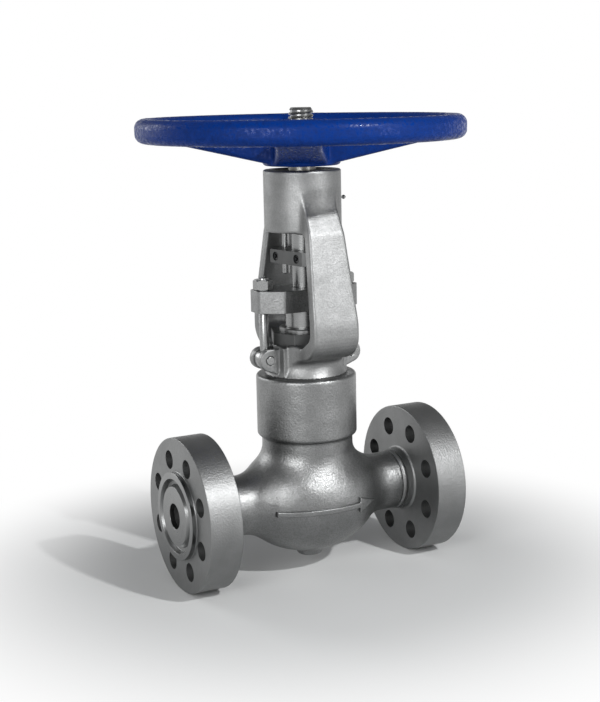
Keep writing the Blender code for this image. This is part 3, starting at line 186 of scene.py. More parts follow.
def bluePaint(name):
    # air-drying blue enamel brushed on rough cast iron: it dries dull in the hollows and glossy on
    # the high spots of the casting. Its orange peel is 2 mm and is drawn coarser to show
    look = paintLook
    material, tree, shader, place = startMaterial(name, look["blue"], 0.0, look["dull"])
    patches = grain(tree, place, look["cast"], 3.0).outputs["Fac"]
    peel = grain(tree, place, look["peel"], 3.0, 0.6).outputs["Fac"]
    colour = mixColours(tree, between(tree, peel, 0, 1), look["deep"], look["blue"])
    tree.links.new(colour, shader.inputs["Base Color"])
    rough = between(tree, peel, look["dull"], look["glossy"], 0.50, 0.62)
    tree.links.new(rough, shader.inputs["Roughness"])
    under = bump(tree, patches, look["castDepth"])
    tree.links.new(bump(tree, peel, look["peelDepth"], 1.0, under), shader.inputs["Normal"])
    shader.inputs["Specular IOR Level"].default_value = 0.11
    return material


castMetal = castSteel("blastedCastStainless", 1.75, 0.6, 0.07)
dressedMetal = castSteel("dressedCastStainless", 1.0, 0.3, 0.0)
flangeMetal = turnedSteel("blastedForgedStainless", "X", "#868787", "#7b7c7c", 0.47, 0.004 * mm,
                           0.45 * mm, 219.3 * mm)
turnedMetal = turnedSteel("turnedStainless", "Z", "#868787", "#787979", 0.36, 0.012 * mm)
brightMetal = turnedSteel("groundStainless", "Z", "#8f9090", "#868787", 0.27, 0.0006 * mm)
# painted shade: this steel is darker than the other stainless so that the guide halves and the bonnet
# nut, which sit inside the yoke, look shaded
shadeDarkenedGuideMetal = turnedSteel("milledStainlessDarkenedForShade", "Z", "#5a5b5b", "#4f5050", 0.42, 0.004 * mm)
blackSteel = turnedSteel("blackenedSteelScrew", "Z", "#2a2b2c", "#232425", 0.45, 0.0)
nickelIron = turnedSteel("turnedNickelIron", "Z", "#9c9b97", "#8e8d88", 0.33, 0.010 * mm)
wheelPaint = bluePaint("blueEnamelOnCastIron")
print("materials made")


# meshes
def newPiece(name, shape, material, body, nodes=(), sharp=32):
    bmesh.ops.recalc_face_normals(shape, faces=shape.faces)
    mesh = bpy.data.meshes.new(name)
    shape.to_mesh(mesh)
    shape.free()
    mesh.materials.append(material)
    mesh.shade_smooth()
    mesh.set_sharp_from_angle(angle=math.radians(sharp))
    piece = bpy.data.objects.new(name, mesh)
    bpy.context.scene.collection.objects.link(piece)
    if body:
        handOver(piece, body, nodes)
    return piece


def handOver(piece, body, nodes=()):  # gives a finished piece to its body
    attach(piece, body)
    if nodes:
        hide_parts(*nodes)


def rounded(points, radii, steps=5):  # an outline with arcs at its corners, by corner number
    outline = []
    for index, point in enumerate(points):
        radius = radii.get(index, 0) if isinstance(radii, dict) else radii
        corner = Vector(point)
        before = Vector(points[index - 1]) - corner
        after = Vector(points[(index + 1) % len(points)]) - corner
        half = before.angle(after) / 2
        if radius <= 0 or half > math.radians(88):
            outline.append(tuple(corner))
            continue
        reach = min(radius / math.tan(half), 0.48 * before.length, 0.48 * after.length)
        start, end = corner + before.normalized() * reach, corner + after.normalized() * reach
        middle = (before.normalized() + after.normalized()).normalized()
        centre = corner + middle * (reach / math.cos(half))
        for step in range(steps + 1):
            ray = (start - centre).lerp(end - centre, step / steps).normalized()
            outline.append(tuple(centre + ray * reach * math.tan(half)))
    return outline


def turnedShape(profile, steps=96):  # spins a closed (radius, height) outline about Z
    shape = bmesh.new()
    verts = [shape.verts.new((radius, 0, height)) for radius, height in profile]
    edges = []
    for index, vert in enumerate(verts):
        after = (index + 1) % len(verts)
        if profile[index][0] > 1e-7 or profile[after][0] > 1e-7:
            edges.append(shape.edges.new((vert, verts[after])))
    bmesh.ops.spin(shape, geom=verts + edges, cent=(0, 0, 0), axis=(0, 0, 1),
                   dvec=(0, 0, 0), angle=2 * math.pi, steps=steps, use_merge=True)
    bmesh.ops.remove_doubles(shape, verts=shape.verts, dist=1e-6)
    bmesh.ops.recalc_face_normals(shape, faces=shape.faces)
    return shape


def prismShape(outline, low, high):
    shape = bmesh.new()
    base = shape.faces.new([shape.verts.new((x, y, low)) for x, y in outline])
    grown = bmesh.ops.extrude_face_region(shape, geom=[base])
    top = [item for item in grown["geom"] if isinstance(item, bmesh.types.BMVert)]
    bmesh.ops.translate(shape, verts=top, vec=(0, 0, high - low))
    bmesh.ops.recalc_face_normals(shape, faces=shape.faces)
    return shape


def moved(shape, matrix):
    bmesh.ops.transform(shape, matrix=matrix, verts=shape.verts)
    return shape


def rod(radius, start, end, steps=48):  # a closed cylinder between two points
    start, end = Vector(start), Vector(end)
    length = (end - start).length
    turn = (end - start).to_track_quat("Z", "Y").to_matrix().to_4x4()
    profile = [(0, length), (radius, length), (radius, 0), (0, 0)]
    return moved(turnedShape(profile, steps), Matrix.Translation(start) @ turn)


def firmNormals(piece):  # wide faces keep their own shading right up to a rounded edge
    step = piece.modifiers.new("normals", "WEIGHTED_NORMAL")
    step.weight, step.keep_sharp = 80, True
    return evaluated(piece)


def evaluated(piece):  # the piece's modifiers turned into plain mesh
    bpy.context.view_layer.update()
    graph = bpy.context.evaluated_depsgraph_get()
    result = bpy.data.meshes.new_from_object(piece.evaluated_get(graph))
    piece.modifiers.clear()
    old = piece.data
    piece.data = result
    bpy.data.meshes.remove(old)
    return piece


def carve(piece, shapes, operation="DIFFERENCE"):
    for number, shape in enumerate(shapes):
        tool = newPiece(f"{piece.name}.tool{number}", shape, piece.data.materials[0], None)
        step = piece.modifiers.new("step", "BOOLEAN")
        step.operation, step.solver, step.object = operation, "EXACT", tool
        evaluated(piece)
        bpy.data.objects.remove(tool)
    return piece


def softenEdges(piece, width, segments=2, angle=35):
    bevel = piece.modifiers.new("bevel", "BEVEL")
    bevel.width, bevel.segments = width, segments
    bevel.limit_method, bevel.angle_limit = "ANGLE", math.radians(angle)
    evaluated(piece)
    piece.data.shade_smooth()
    piece.data.set_sharp_from_angle(angle=math.radians(angle))
    return firmNormals(piece)


def polygon(sides, acrossFlats, turn=0.0):
    radius = acrossFlats / 2 / math.cos(math.pi / sides)
    return [(radius * math.cos(turn + 2 * math.pi * k / sides),
             radius * math.sin(turn + 2 * math.pi * k / sides)) for k in range(sides)]


# castings as distance fields
def softMin(first, second, reach):
    blend = np.clip(0.5 + 0.5 * (second - first) / reach, 0, 1)
    return second * (1 - blend) + first * blend - reach * blend * (1 - blend)


def softMax(first, second, reach):
    return -softMin(-first, -second, reach)


def boxField(u, v, halfU, halfV, edge):  # a rectangle with rounded corners
    du, dv = np.abs(u) - halfU + edge, np.abs(v) - halfV + edge
    outside = np.hypot(np.maximum(du, 0), np.maximum(dv, 0))
    return outside + np.minimum(np.maximum(du, dv), 0) - edge


def drumField(radius, z, outer, low, high, edge):  # a drum about Z with rounded edges
    return boxField(radius, z - (low + high) / 2, outer, (high - low) / 2, edge)


def lineField(u, v, first, second):  # distance to a line between two points
    runU, runV = second[0] - first[0], second[1] - first[1]
    share = np.clip(((u - first[0]) * runU + (v - first[1]) * runV) / (runU ** 2 + runV ** 2), 0, 1)
    return np.hypot(u - first[0] - share * runU, v - first[1] - share * runV)


def outlineField(u, v, points):  # signed distance to a closed outline
    nearest, inside = np.inf, False
    for index, point in enumerate(points):
        last = points[index - 1]
        nearest = np.minimum(nearest, lineField(u, v, last, point))
        if last[1] != point[1]:
            cross = last[0] + (v - last[1]) / (point[1] - last[1]) * (point[0] - last[0])
            inside = inside ^ (((last[1] > v) != (point[1] > v)) & (u < cross))
    return np.where(inside, -nearest, nearest)


def skinShape(field, low, high, step):  # the field's zero surface as quads, pulled onto it
    axes = [np.arange(a, b + step, step) for a, b in zip(low, high)]
    value = np.broadcast_to(field(*np.ix_(*axes)), [len(a) for a in axes]).astype(np.float32)
    cells = tuple(n - 1 for n in value.shape)
    total = np.zeros((*cells, 3), np.float32)
    hits = np.zeros(cells, np.float32)
    crossings = []
    for k in range(3):
        start = value[tuple(slice(0, -1) if a == k else slice(None) for a in range(3))]
        end = value[tuple(slice(1, None) if a == k else slice(None) for a in range(3))]
        cross = (start < 0) != (end < 0)
        crossings.append((cross, start < 0))
        share = np.where(cross, start / np.where(cross, start - end, 1), 0)
        others = [a for a in range(3) if a != k]
        for i in (0, 1):
            for j in (0, 1):
                part = [slice(None)] * 3
                part[others[0]] = slice(i, cells[others[0]] + i)
                part[others[1]] = slice(j, cells[others[1]] + j)
                found = cross[tuple(part)]
                hits += found
                total[..., k] += share[tuple(part)]
                total[..., others[0]] += found * i
                total[..., others[1]] += found * j
    mixed = hits > 0
    number = np.cumsum(mixed).reshape(mixed.shape) - 1
    spots = np.argwhere(mixed) + total[mixed] / hits[mixed][:, None]
    verts = np.array(low) + spots * step
    quads = []
    for k, (cross, startInside) in enumerate(crossings):
        u, v = [a for a in range(3) if a != k]
        part = [slice(None)] * 3
        part[u], part[v] = slice(1, -1), slice(1, -1)
        found = np.argwhere(cross[tuple(part)])
        outward = startInside[tuple(part)][tuple(found.T)]
        found[:, u] += 1
        found[:, v] += 1
        corners = []
        for i, j in ((1, 1), (0, 1), (0, 0), (1, 0)):
            cell = found.copy()
            cell[:, u] -= i
            cell[:, v] -= j
            corners.append(number[tuple(cell.T)])
        quad = np.stack(corners, 1)
        if k == 1:
            outward = ~outward
        quads.append(np.where(outward[:, None], quad, quad[:, ::-1]))
    quads = np.concatenate(quads)
    for _ in range(3):
        here = field(*verts.T)
        slope = np.stack([(field(*(verts + off).T) - field(*(verts - off).T)) / (0.4 * step)
                          for off in np.eye(3) * 0.2 * step], 1)
        pull = here / np.maximum((slope ** 2).sum(1), 0.2)
        verts = verts - slope * np.clip(pull, -0.6 * step, 0.6 * step)[:, None]
    return verts, quads


def castPiece(name, field, low, high, step, material, body, node, sharp=38):
    verts, quads = skinShape(field, low, high, step)
    mesh = bpy.data.meshes.new(name)
    mesh.vertices.add(len(verts))
    mesh.vertices.foreach_set("co", verts.astype(np.float32).ravel())
    mesh.loops.add(quads.size)
    mesh.loops.foreach_set("vertex_index", quads.astype(np.int32).ravel())
    mesh.polygons.add(len(quads))
    mesh.polygons.foreach_set("loop_start", np.arange(0, quads.size, 4, dtype=np.int32))
    mesh.update(calc_edges=True)
    mesh.validate()
    mesh.materials.append(material)
    mesh.shade_smooth()
    mesh.set_sharp_from_angle(angle=math.radians(sharp))
    piece = bpy.data.objects.new(name, mesh)
    bpy.context.scene.collection.objects.link(piece)
    handOver(piece, body, [node] if node else ())
    print(name, len(quads), "faces")
    return piece


bodySizes = {
    "neck": 46 * mm, "neckEnd": 147.3 * mm, "bulb": (116 * mm, 91 * mm, 87.5 * mm),
    "column": 70.5 * mm, "neckFillet": 16 * mm, "columnFillet": 15 * mm,
    "bossRadius": 18 * mm, "bossBottom": -96 * mm,
    "headRadius": 77.4 * mm, "headLow": 98.9 * mm, "headHigh": 195.5 * mm, "headEdge": 5 * mm,
    "boreRadius": 50 * mm, "boreLow": 104.7 * mm, "chamber": 46 * mm, "chamberLow": 2 * mm,
    "pocket": 28.8 * mm, "pocketLow": -14.3 * mm, "pipe": 20.5 * mm, "port": 19.05 * mm,
    "bowl": 34 * mm, "bowlHeight": -46 * mm, "outletRise": 28 * mm,
    "arrowTail": -88 * mm, "arrowNeck": 44 * mm, "arrowTip": 80 * mm, "arrowHeight": -4 * mm,
    "arrowShaft": 4.4 * mm, "arrowHead": 12 * mm, "arrowRise": 3.8 * mm, "step": 2.2 * mm,
}


def rawCasting(x, y, z):  # necks, bulb, column and drain boss, before any machining
    s = bodySizes
    radius = np.hypot(x, y)
    neck = np.hypot(y, z) - s["neck"]
    a, b, c = s["bulb"]
    bulb = (np.sqrt((x / a) ** 2 + (y / b) ** 2 + (z / c) ** 2) - 1) * min(a, b, c)
    column = np.maximum(radius - s["column"], -z)
    skin = softMin(softMin(neck, bulb, s["neckFillet"]), column, s["columnFillet"])
    skin = np.maximum(skin, z - s["headHigh"] + 10 * mm)
    boss = softMax(radius - s["bossRadius"], np.maximum(z, s["bossBottom"] - z), 4 * mm)
    return softMin(skin, boss, s["neckFillet"])


def arrowField(x, y, z):  # plain flow arrow, raised on the near side of the bulb
    s = bodySizes
    height = z - s["arrowHeight"]
    shaft = boxField(x - (s["arrowTail"] + s["arrowNeck"]) / 2, height,
                     (s["arrowNeck"] - s["arrowTail"]) / 2, s["arrowShaft"], 1.5 * mm)
    tip = [(s["arrowNeck"], -s["arrowHead"]), (s["arrowTip"], 0), (s["arrowNeck"], s["arrowHead"])]
    arrow = softMin(shaft, outlineField(x, height, tip), 2 * mm)
    skin = rawCasting(x, y, z)
    return np.maximum(softMax(arrow, skin - s["arrowRise"], 1.6 * mm), -2 * mm - skin)


def bodyField(x, y, z):
    s = bodySizes
    radius = np.hypot(x, y)
    skin = rawCasting(x, y, z)
    head = drumField(radius, z, s["headRadius"], s["headLow"], s["headHigh"], s["headEdge"])
    skin = softMin(skin, head, 5 * mm)
    skin = softMax(skin, np.abs(x) - s["neckEnd"], 1 * mm)
    # inside: bonnet bore, chamber, seat pocket, bowl and the S-shaped passage
    cut = drumField(radius, z, s["boreRadius"], s["boreLow"], 0.25, 0)
    cut = np.minimum(cut, drumField(radius, z, s["chamber"], s["chamberLow"], 0.2, 0))
    cut = np.minimum(cut, drumField(radius, z, s["pocket"], s["pocketLow"], 0.1, 0))
    cut = np.minimum(cut, drumField(radius, z, s["port"], s["bowlHeight"], 0.05, 0))
    cut = np.minimum(cut, np.sqrt(radius ** 2 + (z - s["bowlHeight"]) ** 2) - s["bowl"])
    far = s["neckEnd"] + 20 * mm
    routes = ([(-far, 0), (-0.7 * far, -0.001), (-0.3 * far, 0.6 * s["bowlHeight"]),
               (0, s["bowlHeight"])],
              [(far, 0), (0.7 * far, 0.001), (0.3 * far, 0.9 * s["outletRise"]),
               (0, s["outletRise"])])
    for route in routes:
        for first, second in zip(route, route[1:]):
            pipe = np.hypot(lineField(x, z, first, second), y) - s["pipe"]
            cut = softMin(cut, pipe, 3 * mm)
    return softMax(skin, -cut, 1 * mm)


yokeSizes = {
    "low": 195.8 * mm, "floor": 243.1 * mm, "drumLow": 415.4 * mm, "drumHigh": 507.9 * mm,
    "drum": 59 * mm, "drumBore": 42 * mm, "drumFloor": 425.6 * mm, "nutBore": 25.5 * mm,
    "foot": 57.5 * mm, "flare": 6 * mm, "flareHeight": 22 * mm,
    "footBore": 40.6 * mm, "footEdge": 0.8 * mm, "footFillet": 15 * mm,
    "top": (50 * mm, 471.4 * mm), "shoulder": (76.5 * mm, 414.9 * mm), "hip": (102.5 * mm, 281.1 * mm),
    "knee": 261.1 * mm, "under": 224.2 * mm, "wall": 17 * mm,
    "topWidth": 54.5 * mm, "hipWidth": 76.5 * mm, "edge": 5 * mm,
    "earX": 70 * mm, "earZ": 223.1 * mm, "ear": 16.8 * mm, "earSide": 20.05 * mm,
    "webX": 50 * mm, "webZ": 197.8 * mm, "earRoot": 41.5 * mm,
    "slot": 8.55 * mm, "pin": 6.8 * mm, "padX": 54.5 * mm, "padY": 33 * mm, "step": 2.0 * mm,
}


def yokeOutline():  # one arm's outside seen along X, as (reach, height), closed over the axis
    s = yokeSizes
    hipReach, knee = s["hip"][0], s["knee"]
    inwards = hipReach - s["foot"] + 4 * mm
    points = [(0, s["top"][1]), s["top"], s["shoulder"], s["hip"], (hipReach, knee)]
    points = rounded(points, {2: 40 * mm, 3: 100 * mm}, 4)
    for step in range(1, 11):
        turn = math.pi / 2 * step / 10
        points.append((hipReach - inwards * (1 - math.cos(turn)),
                       knee - (knee - s["under"]) * math.sin(turn)))
    return points + [(0, s["under"])]


def earOutline():  # the ear's rounded end with a web down to the foot, as (reach, height)
    s = yokeSizes
    run, drop = s["earX"] - s["webX"], s["earZ"] - s["webZ"]
    touch = math.acos(s["ear"] / math.hypot(run, drop)) - math.atan2(drop, -run)
    points = [(s["webX"], s["webZ"]), (s["earRoot"], s["webZ"]), (s["earRoot"], s["earZ"] + s["ear"])]
    for step in range(17):
        turn = math.pi / 2 + (touch - math.pi / 2) * step / 16
        points.append((s["earX"] + s["ear"] * math.cos(turn), s["earZ"] + s["ear"] * math.sin(turn)))
    return points


def windowOutline():
    s = yokeSizes
    slope = (s["hip"][0] - s["shoulder"][0]) / (s["shoulder"][1] - s["hip"][1])
    hip = s["hip"][0] - s["wall"]
    top = hip - slope * (s["drumLow"] - s["hip"][1])
    half = [(top, s["drumLow"]), (hip, s["hip"][1]), (hip, s["knee"]), (s["foot"], s["floor"])]
    points = half + [(-reach, height) for reach, height in reversed(half)]
    soft = dict(enumerate(size * mm for size in (11, 25, 14, 12, 12, 14, 25, 11)))
    return rounded(points, soft, 6)


yokeEdge, windowEdge, earEdge = yokeOutline(), windowOutline(), earOutline()


def yokeField(x, y, z):
    s = yokeSizes
    radius = np.hypot(x, y)
    share = np.clip((s["top"][1] - z) / (s["top"][1] - s["hip"][1]), 0, 1)
    width = (s["topWidth"] + (s["hipWidth"] - s["topWidth"]) * share) / 2
    arms = softMax(outlineField(np.abs(y), z, yokeEdge), np.abs(x) - width, s["edge"])
    arms = softMax(arms, -outlineField(y, z, windowEdge), 4 * mm)
    drum = drumField(radius, z, s["drum"], s["drumLow"], s["drumHigh"], 3 * mm)
    skin = softMin(arms, drum, 7 * mm)
    spread = np.clip((s["low"] + s["flareHeight"] - z) / s["flareHeight"], 0, 1)
    flared = radius - s["flare"] * spread ** 2
    foot = drumField(flared, z, s["foot"], s["low"], s["floor"], s["footEdge"])
    skin = softMin(skin, foot, s["footFillet"])
    skin = np.maximum(skin, s["low"] - z)
    side, face = np.abs(x), np.abs(y)
    padZ, padHalf = (s["floor"] + s["webZ"]) / 2, (s["floor"] - s["webZ"]) / 2
    pad = np.maximum(boxField(side, face, s["padX"], s["padY"], 1.5 * mm),
                     np.abs(z - padZ) - padHalf + 1 * mm)
    skin = softMin(skin, pad, 2.5 * mm)
    ear = softMax(outlineField(side, z, earEdge), np.abs(face - (s["slot"] + s["earSide"]) / 2)
                  - (s["earSide"] - s["slot"]) / 2, 1.8 * mm)
    skin = softMin(skin, ear, 1.5 * mm)
    slot = np.maximum(np.maximum(face - s["slot"], s["padX"] - 1 * mm - side),
                      np.abs(z - s["earZ"] - 2 * mm) - 24 * mm)
    skin = softMax(skin, -slot, 1.2 * mm)
    hole = np.hypot(side - s["earX"], z - s["earZ"]) - s["pin"]
    cut = np.minimum(hole, drumField(radius, z, s["footBore"], 0.15, s["floor"] + 5 * mm, 0))
    cut = np.minimum(cut, drumField(radius, z, s["drumBore"], s["drumFloor"], 0.55, 0))
    cut = np.minimum(cut, drumField(radius, z, s["nutBore"], 0.40, 0.55, 0))
    return softMax(skin, -cut, 1.2 * mm)


wheelSizes = {
    "radius": 248.5 * mm, "rimWidth": 30 * mm, "rimHeight": 36 * mm, "rimEdge": 13.5 * mm,
    "rimZ": 569.1 * mm, "hub": 59 * mm, "low": 513.9 * mm, "high": 561.9 * mm, "bore": 24.8 * mm,
    "turn": math.radians(61), "count": 4, "rootWidth": 80 * mm, "tipWidth": 66 * mm,
    "rootDepth": 36 * mm, "tipDepth": 22 * mm, "start": 47 * mm, "lift": 3 * mm, "step": 2.4 * mm,
}


def wheelField(x, y, z):
    s = wheelSizes
    radius = np.hypot(x, y)
    rimMiddle = s["radius"] - s["rimWidth"] / 2
    rim = boxField(radius - rimMiddle, z - s["rimZ"], s["rimWidth"] / 2, s["rimHeight"] / 2,
                   s["rimEdge"])
    sector = 2 * math.pi / s["count"]
    angle = np.arctan2(y, x) - s["turn"]
    angle = angle - sector * np.round(angle / sector)
    along, across = radius * np.cos(angle), radius * np.sin(angle)
    end = s["radius"] - s["rimWidth"] * 0.6
    share = np.clip((along - s["start"]) / (end - s["start"]), 0, 1)
    width = s["tipWidth"] + (s["rootWidth"] - s["tipWidth"]) * (1 - share) ** 3
    depth = s["rootDepth"] + (s["tipDepth"] - s["rootDepth"]) * share
    root = s["low"] + s["lift"]
    low = root + (s["rimZ"] - s["tipDepth"] / 2 - root) * share
    spoke = boxField(across, z - low - depth / 2, width / 2, depth / 2, 7 * mm)
    spoke = np.maximum(spoke, np.maximum(s["start"] - 20 * mm - along, along - end))
    hub = drumField(radius, z, s["hub"], s["low"], s["high"], 5 * mm)
    skin = softMin(softMin(rim, spoke, 10 * mm), hub, 3 * mm)
    return softMax(skin, s["bore"] - radius, 1.5 * mm)


castPiece("castBody", bodyField, (-0.152, -0.096, -0.101), (0.152, 0.096, 0.198),
          bodySizes["step"], castMetal, "frame", "valve_body")
castPiece("flowArrow", arrowField, (-0.092, -0.097, -0.018), (0.087, -0.050, 0.010),
          0.9 * mm, castMetal, "frame", None)
castPiece("castYoke", yokeField, (-0.092, -0.108, 0.188), (0.092, 0.108, 0.513),
          yokeSizes["step"], dressedMetal, "frame", "yoke")
castPiece("castHandwheel", wheelField, (-0.254, -0.254, 0.506), (0.254, 0.254, 0.592),
          wheelSizes["step"], wheelPaint, "wheel", "handwheel")
print("castings made")


# geometry node trees
def startTree(name, sockets):  # sockets: (name, kind); returns the tree, its input and output
    tree = bpy.data.node_groups.new(name, "GeometryNodeTree")
    tree.interface.new_socket("Geometry", in_out="INPUT", socket_type="NodeSocketGeometry")
    for label, kind in sockets:
        tree.interface.new_socket(label, in_out="INPUT", socket_type=f"NodeSocket{kind}")
    tree.interface.new_socket("Geometry", in_out="OUTPUT", socket_type="NodeSocketGeometry")
    return tree, tree.nodes.new("NodeGroupInput"), tree.nodes.new("NodeGroupOutput")


def runTree(piece, tree, values):  # sets a tree's inputs by identifier, then bakes the result
    step = piece.modifiers.new("tree", "NODES")
    step.node_group = tree
    for item in tree.interface.items_tree:
        if item.in_out == "INPUT" and item.name in values:
            step[item.identifier] = values[item.name]
    return evaluated(piece)


def boltHoleTree():  # cuts a ring of holes about Z into the piece
    tree, group, out = startTree("boltHoles", [
        ("Count", "Int"), ("Circle Radius", "Float"), ("Hole Radius", "Float"),
        ("Length", "Float"), ("Turn", "Float"), ("Material", "Material")])
    ring = addNode(tree, "GeometryNodeMeshCircle", None, {
        "Vertices": group.outputs["Count"], "Radius": group.outputs["Circle Radius"]})
    drill = addNode(tree, "GeometryNodeMeshCylinder", None, {
        "Vertices": 48, "Radius": group.outputs["Hole Radius"], "Depth": group.outputs["Length"]})
    spread = addNode(tree, "GeometryNodeInstanceOnPoints", None, {
        "Points": ring.outputs["Mesh"], "Instance": drill.outputs["Mesh"]})
    turn = addNode(tree, "ShaderNodeCombineXYZ", None, {"Z": group.outputs["Turn"]})
    placed = addNode(tree, "GeometryNodeTransform", None, {
        "Geometry": spread.outputs["Instances"], "Rotation": turn.outputs["Vector"]})
    solid = addNode(tree, "GeometryNodeRealizeInstances", None, {"Geometry": placed.outputs[0]})
    cut = addNode(tree, "GeometryNodeMeshBoolean", {"operation": "DIFFERENCE", "solver": "EXACT"},
                  {"Mesh 1": group.outputs["Geometry"], "Mesh 2": solid.outputs[0]})
    whole = addNode(tree, "GeometryNodeRealizeInstances", None, {"Geometry": cut.outputs["Mesh"]})
    painted = addNode(tree, "GeometryNodeSetMaterial", None, {
        "Geometry": whole.outputs[0], "Material": group.outputs["Material"]})
    tree.links.new(painted.outputs[0], out.inputs[0])
    return tree


def threadTree():  # adds a helical ridge about Z to the piece
    tree, group, out = startTree("screwThread", [
        ("Turns", "Float"), ("Steps", "Int"), ("Centre Radius", "Float"), ("Length", "Float"),
        ("Start", "Float"), ("Ridge", "Float"), ("Left Hand", "Bool"), ("Material", "Material")])
    helix = addNode(tree, "GeometryNodeCurveSpiral", None, {
        "Resolution": group.outputs["Steps"], "Rotations": group.outputs["Turns"],
        "Start Radius": group.outputs["Centre Radius"], "End Radius": group.outputs["Centre Radius"],
        "Height": group.outputs["Length"], "Reverse": group.outputs["Left Hand"]})
    upright = addNode(tree, "GeometryNodeSetCurveNormal", {"mode": "Z_UP"}, {"Curve": helix.outputs[0]})
    section = addNode(tree, "GeometryNodeCurvePrimitiveCircle", None, {
        "Resolution": 6, "Radius": group.outputs["Ridge"]})
    ridge = addNode(tree, "GeometryNodeCurveToMesh", None, {
        "Curve": upright.outputs[0], "Profile Curve": section.outputs[0], "Fill Caps": True})
    lift = addNode(tree, "ShaderNodeCombineXYZ", None, {"Z": group.outputs["Start"]})
    raised = addNode(tree, "GeometryNodeTransform", None, {
        "Geometry": ridge.outputs[0], "Translation": lift.outputs["Vector"]})
    both = addNode(tree, "GeometryNodeJoinGeometry")
    tree.links.new(raised.outputs[0], both.inputs[0])
    tree.links.new(group.outputs["Geometry"], both.inputs[0])
    whole = addNode(tree, "GeometryNodeRealizeInstances", None, {"Geometry": both.outputs[0]})
    painted = addNode(tree, "GeometryNodeSetMaterial", None, {
        "Geometry": whole.outputs[0], "Material": group.outputs["Material"]})
    tree.links.new(painted.outputs[0], out.inputs[0])
    return tree


holes, thread = boltHoleTree(), threadTree()


def addThread(piece, pitch, radius, low, high, ridge, leftHand=False):
    turns = (high - low) / pitch
    material = piece.data.materials[0]
    runTree(piece, thread, {
        "Turns": turns, "Steps": 48, "Centre Radius": radius - ridge * 0.87,
        "Length": high - low, "Start": low, "Ridge": ridge, "Left Hand": leftHand,
        "Material": material})
    piece.data.shade_smooth()
    piece.data.set_sharp_from_angle(angle=math.radians(32))
    return piece


flangeSizes = {
    "face": 227 * mm, "raised": 7.92 * mm, "radius": 117.5 * mm, "thick": 50.9 * mm,
    "raisedRadius": 66.5 * mm, "bore": 19.05 * mm, "groovePitch": 50.8 * mm,
    "grooveWidth": 11.91 * mm, "grooveDepth": 7.92 * mm, "grooveAngle": math.radians(23),
    "hub": 49 * mm, "hubLength": 12.5 * mm, "weld": 7.8 * mm, "weldCrown": 1.5 * mm,
    "neck": 46 * mm, "holeCircle": 85.7 * mm, "hole": 14.3 * mm, "holes": 8, "edge": 0.9 * mm,
}


def makeFlange(name, node, side):
    s = flangeSizes
    face, rim = s["face"], s["face"] - s["raised"]
    back = rim - s["thick"]
    hubEnd = back - s["hubLength"]
    weldEnd = hubEnd - s["weld"]
    mouth = s["grooveWidth"] / 2
    floor = mouth - s["grooveDepth"] * math.tan(s["grooveAngle"])
    pitch = s["groovePitch"]
    profile = rounded([
        (s["bore"], face), (pitch - mouth, face), (pitch - floor, face - s["grooveDepth"]),
        (pitch + floor, face - s["grooveDepth"]), (pitch + mouth, face),
        (s["raisedRadius"], face), (s["raisedRadius"], rim), (s["radius"], rim),
        (s["radius"], back), (s["hub"], back), (s["hub"], hubEnd)],
        {0: 0.6 * mm, 1: 0.5 * mm, 2: 0.8 * mm, 3: 0.8 * mm, 4: 0.5 * mm, 5: 0.6 * mm, 6: 1.2 * mm,
         7: 1.2 * mm, 8: 1.5 * mm, 9: 4 * mm}, 4)
    for step in range(7):  # weld bead: a low crown between hub and neck
        share = step / 6
        crown = s["weldCrown"] * math.sin(math.pi * share)
        profile.append((s["neck"] + crown, hubEnd + (weldEnd - hubEnd) * share))
    profile.append((s["bore"], weldEnd))
    piece = newPiece(name, turnedShape(profile, 144), flangeMetal, None)
    runTree(piece, holes, {
        "Count": s["holes"], "Circle Radius": s["holeCircle"], "Hole Radius": s["hole"],
        "Length": 0.6, "Turn": math.pi / s["holes"], "Material": flangeMetal})
    piece.data.transform(Matrix.Rotation(side * math.pi / 2, 4, "Y"))
    softenEdges(piece, s["edge"], 2, 50)
    handOver(piece, "frame", [node])


makeFlange("turnedInletFlange", "inlet_flange", -1)
makeFlange("turnedOutletFlange", "outlet_flange", 1)
print("flanges made")


stemSizes = {
    "bottom": 18.6 * mm, "top": 600 * mm, "radius": 18.75 * mm, "tip": 3 * mm,
    "threadLow": 414 * mm, "pitch": 6 * mm, "ridge": 2.1 * mm, "core": 15.9 * mm,
}


def makeStem():
    s = stemSizes
    low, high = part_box("stem")
    collar = 86.1 * mm
    profile = [(0, s["bottom"]), (21.6 * mm, s["bottom"]), (21.6 * mm, s["bottom"] + 9 * mm),
               (s["radius"], s["bottom"] + 9 * mm), (s["radius"], collar - 8 * mm),
               (23 * mm, collar - 6 * mm), (23 * mm, collar - 4 * mm), (s["radius"], collar),
               (s["radius"], s["threadLow"] - 3 * mm), (s["core"], s["threadLow"]),
               (s["core"], s["top"] - 4 * mm), (s["radius"] - 1.2 * mm, s["top"] - 3.8 * mm),
               (s["radius"] - s["tip"] - 0.6 * mm, high.z), (0, high.z)]
    piece = newPiece("threadedStem", turnedShape(profile, 96), brightMetal, None)
    addThread(piece, s["pitch"], s["radius"], s["threadLow"], s["top"] - 6 * mm, s["ridge"], True)
    handOver(piece, "rising_stem", ["stem"])


makeStem()


def turnedPiece(name, profile, edge, material, body, nodes, steps=96, place=None):
    shape = turnedShape(rounded(profile, edge, 3), steps)
    if place:
        moved(shape, place)
    piece = firmNormals(newPiece(name, shape, material, None))
    handOver(piece, body, nodes)
    return piece


def ringPiece(name, node, inner, edge, material, body):  # a ring with the CAD node's box
    low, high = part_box(node)
    outer = (high.x - low.x) / 2
    profile = [(outer, high.z), (outer, low.z), (inner, low.z), (inner, high.z)]
    return turnedPiece(name, profile, edge, material, body, [node])


ringPiece("glandBush", "gland_bush", 19.35 * mm, 1 * mm, brightMetal, "frame")
ringPiece("bearingCap", "bearing_cap", 25.5 * mm, 1 * mm, turnedMetal, "frame")


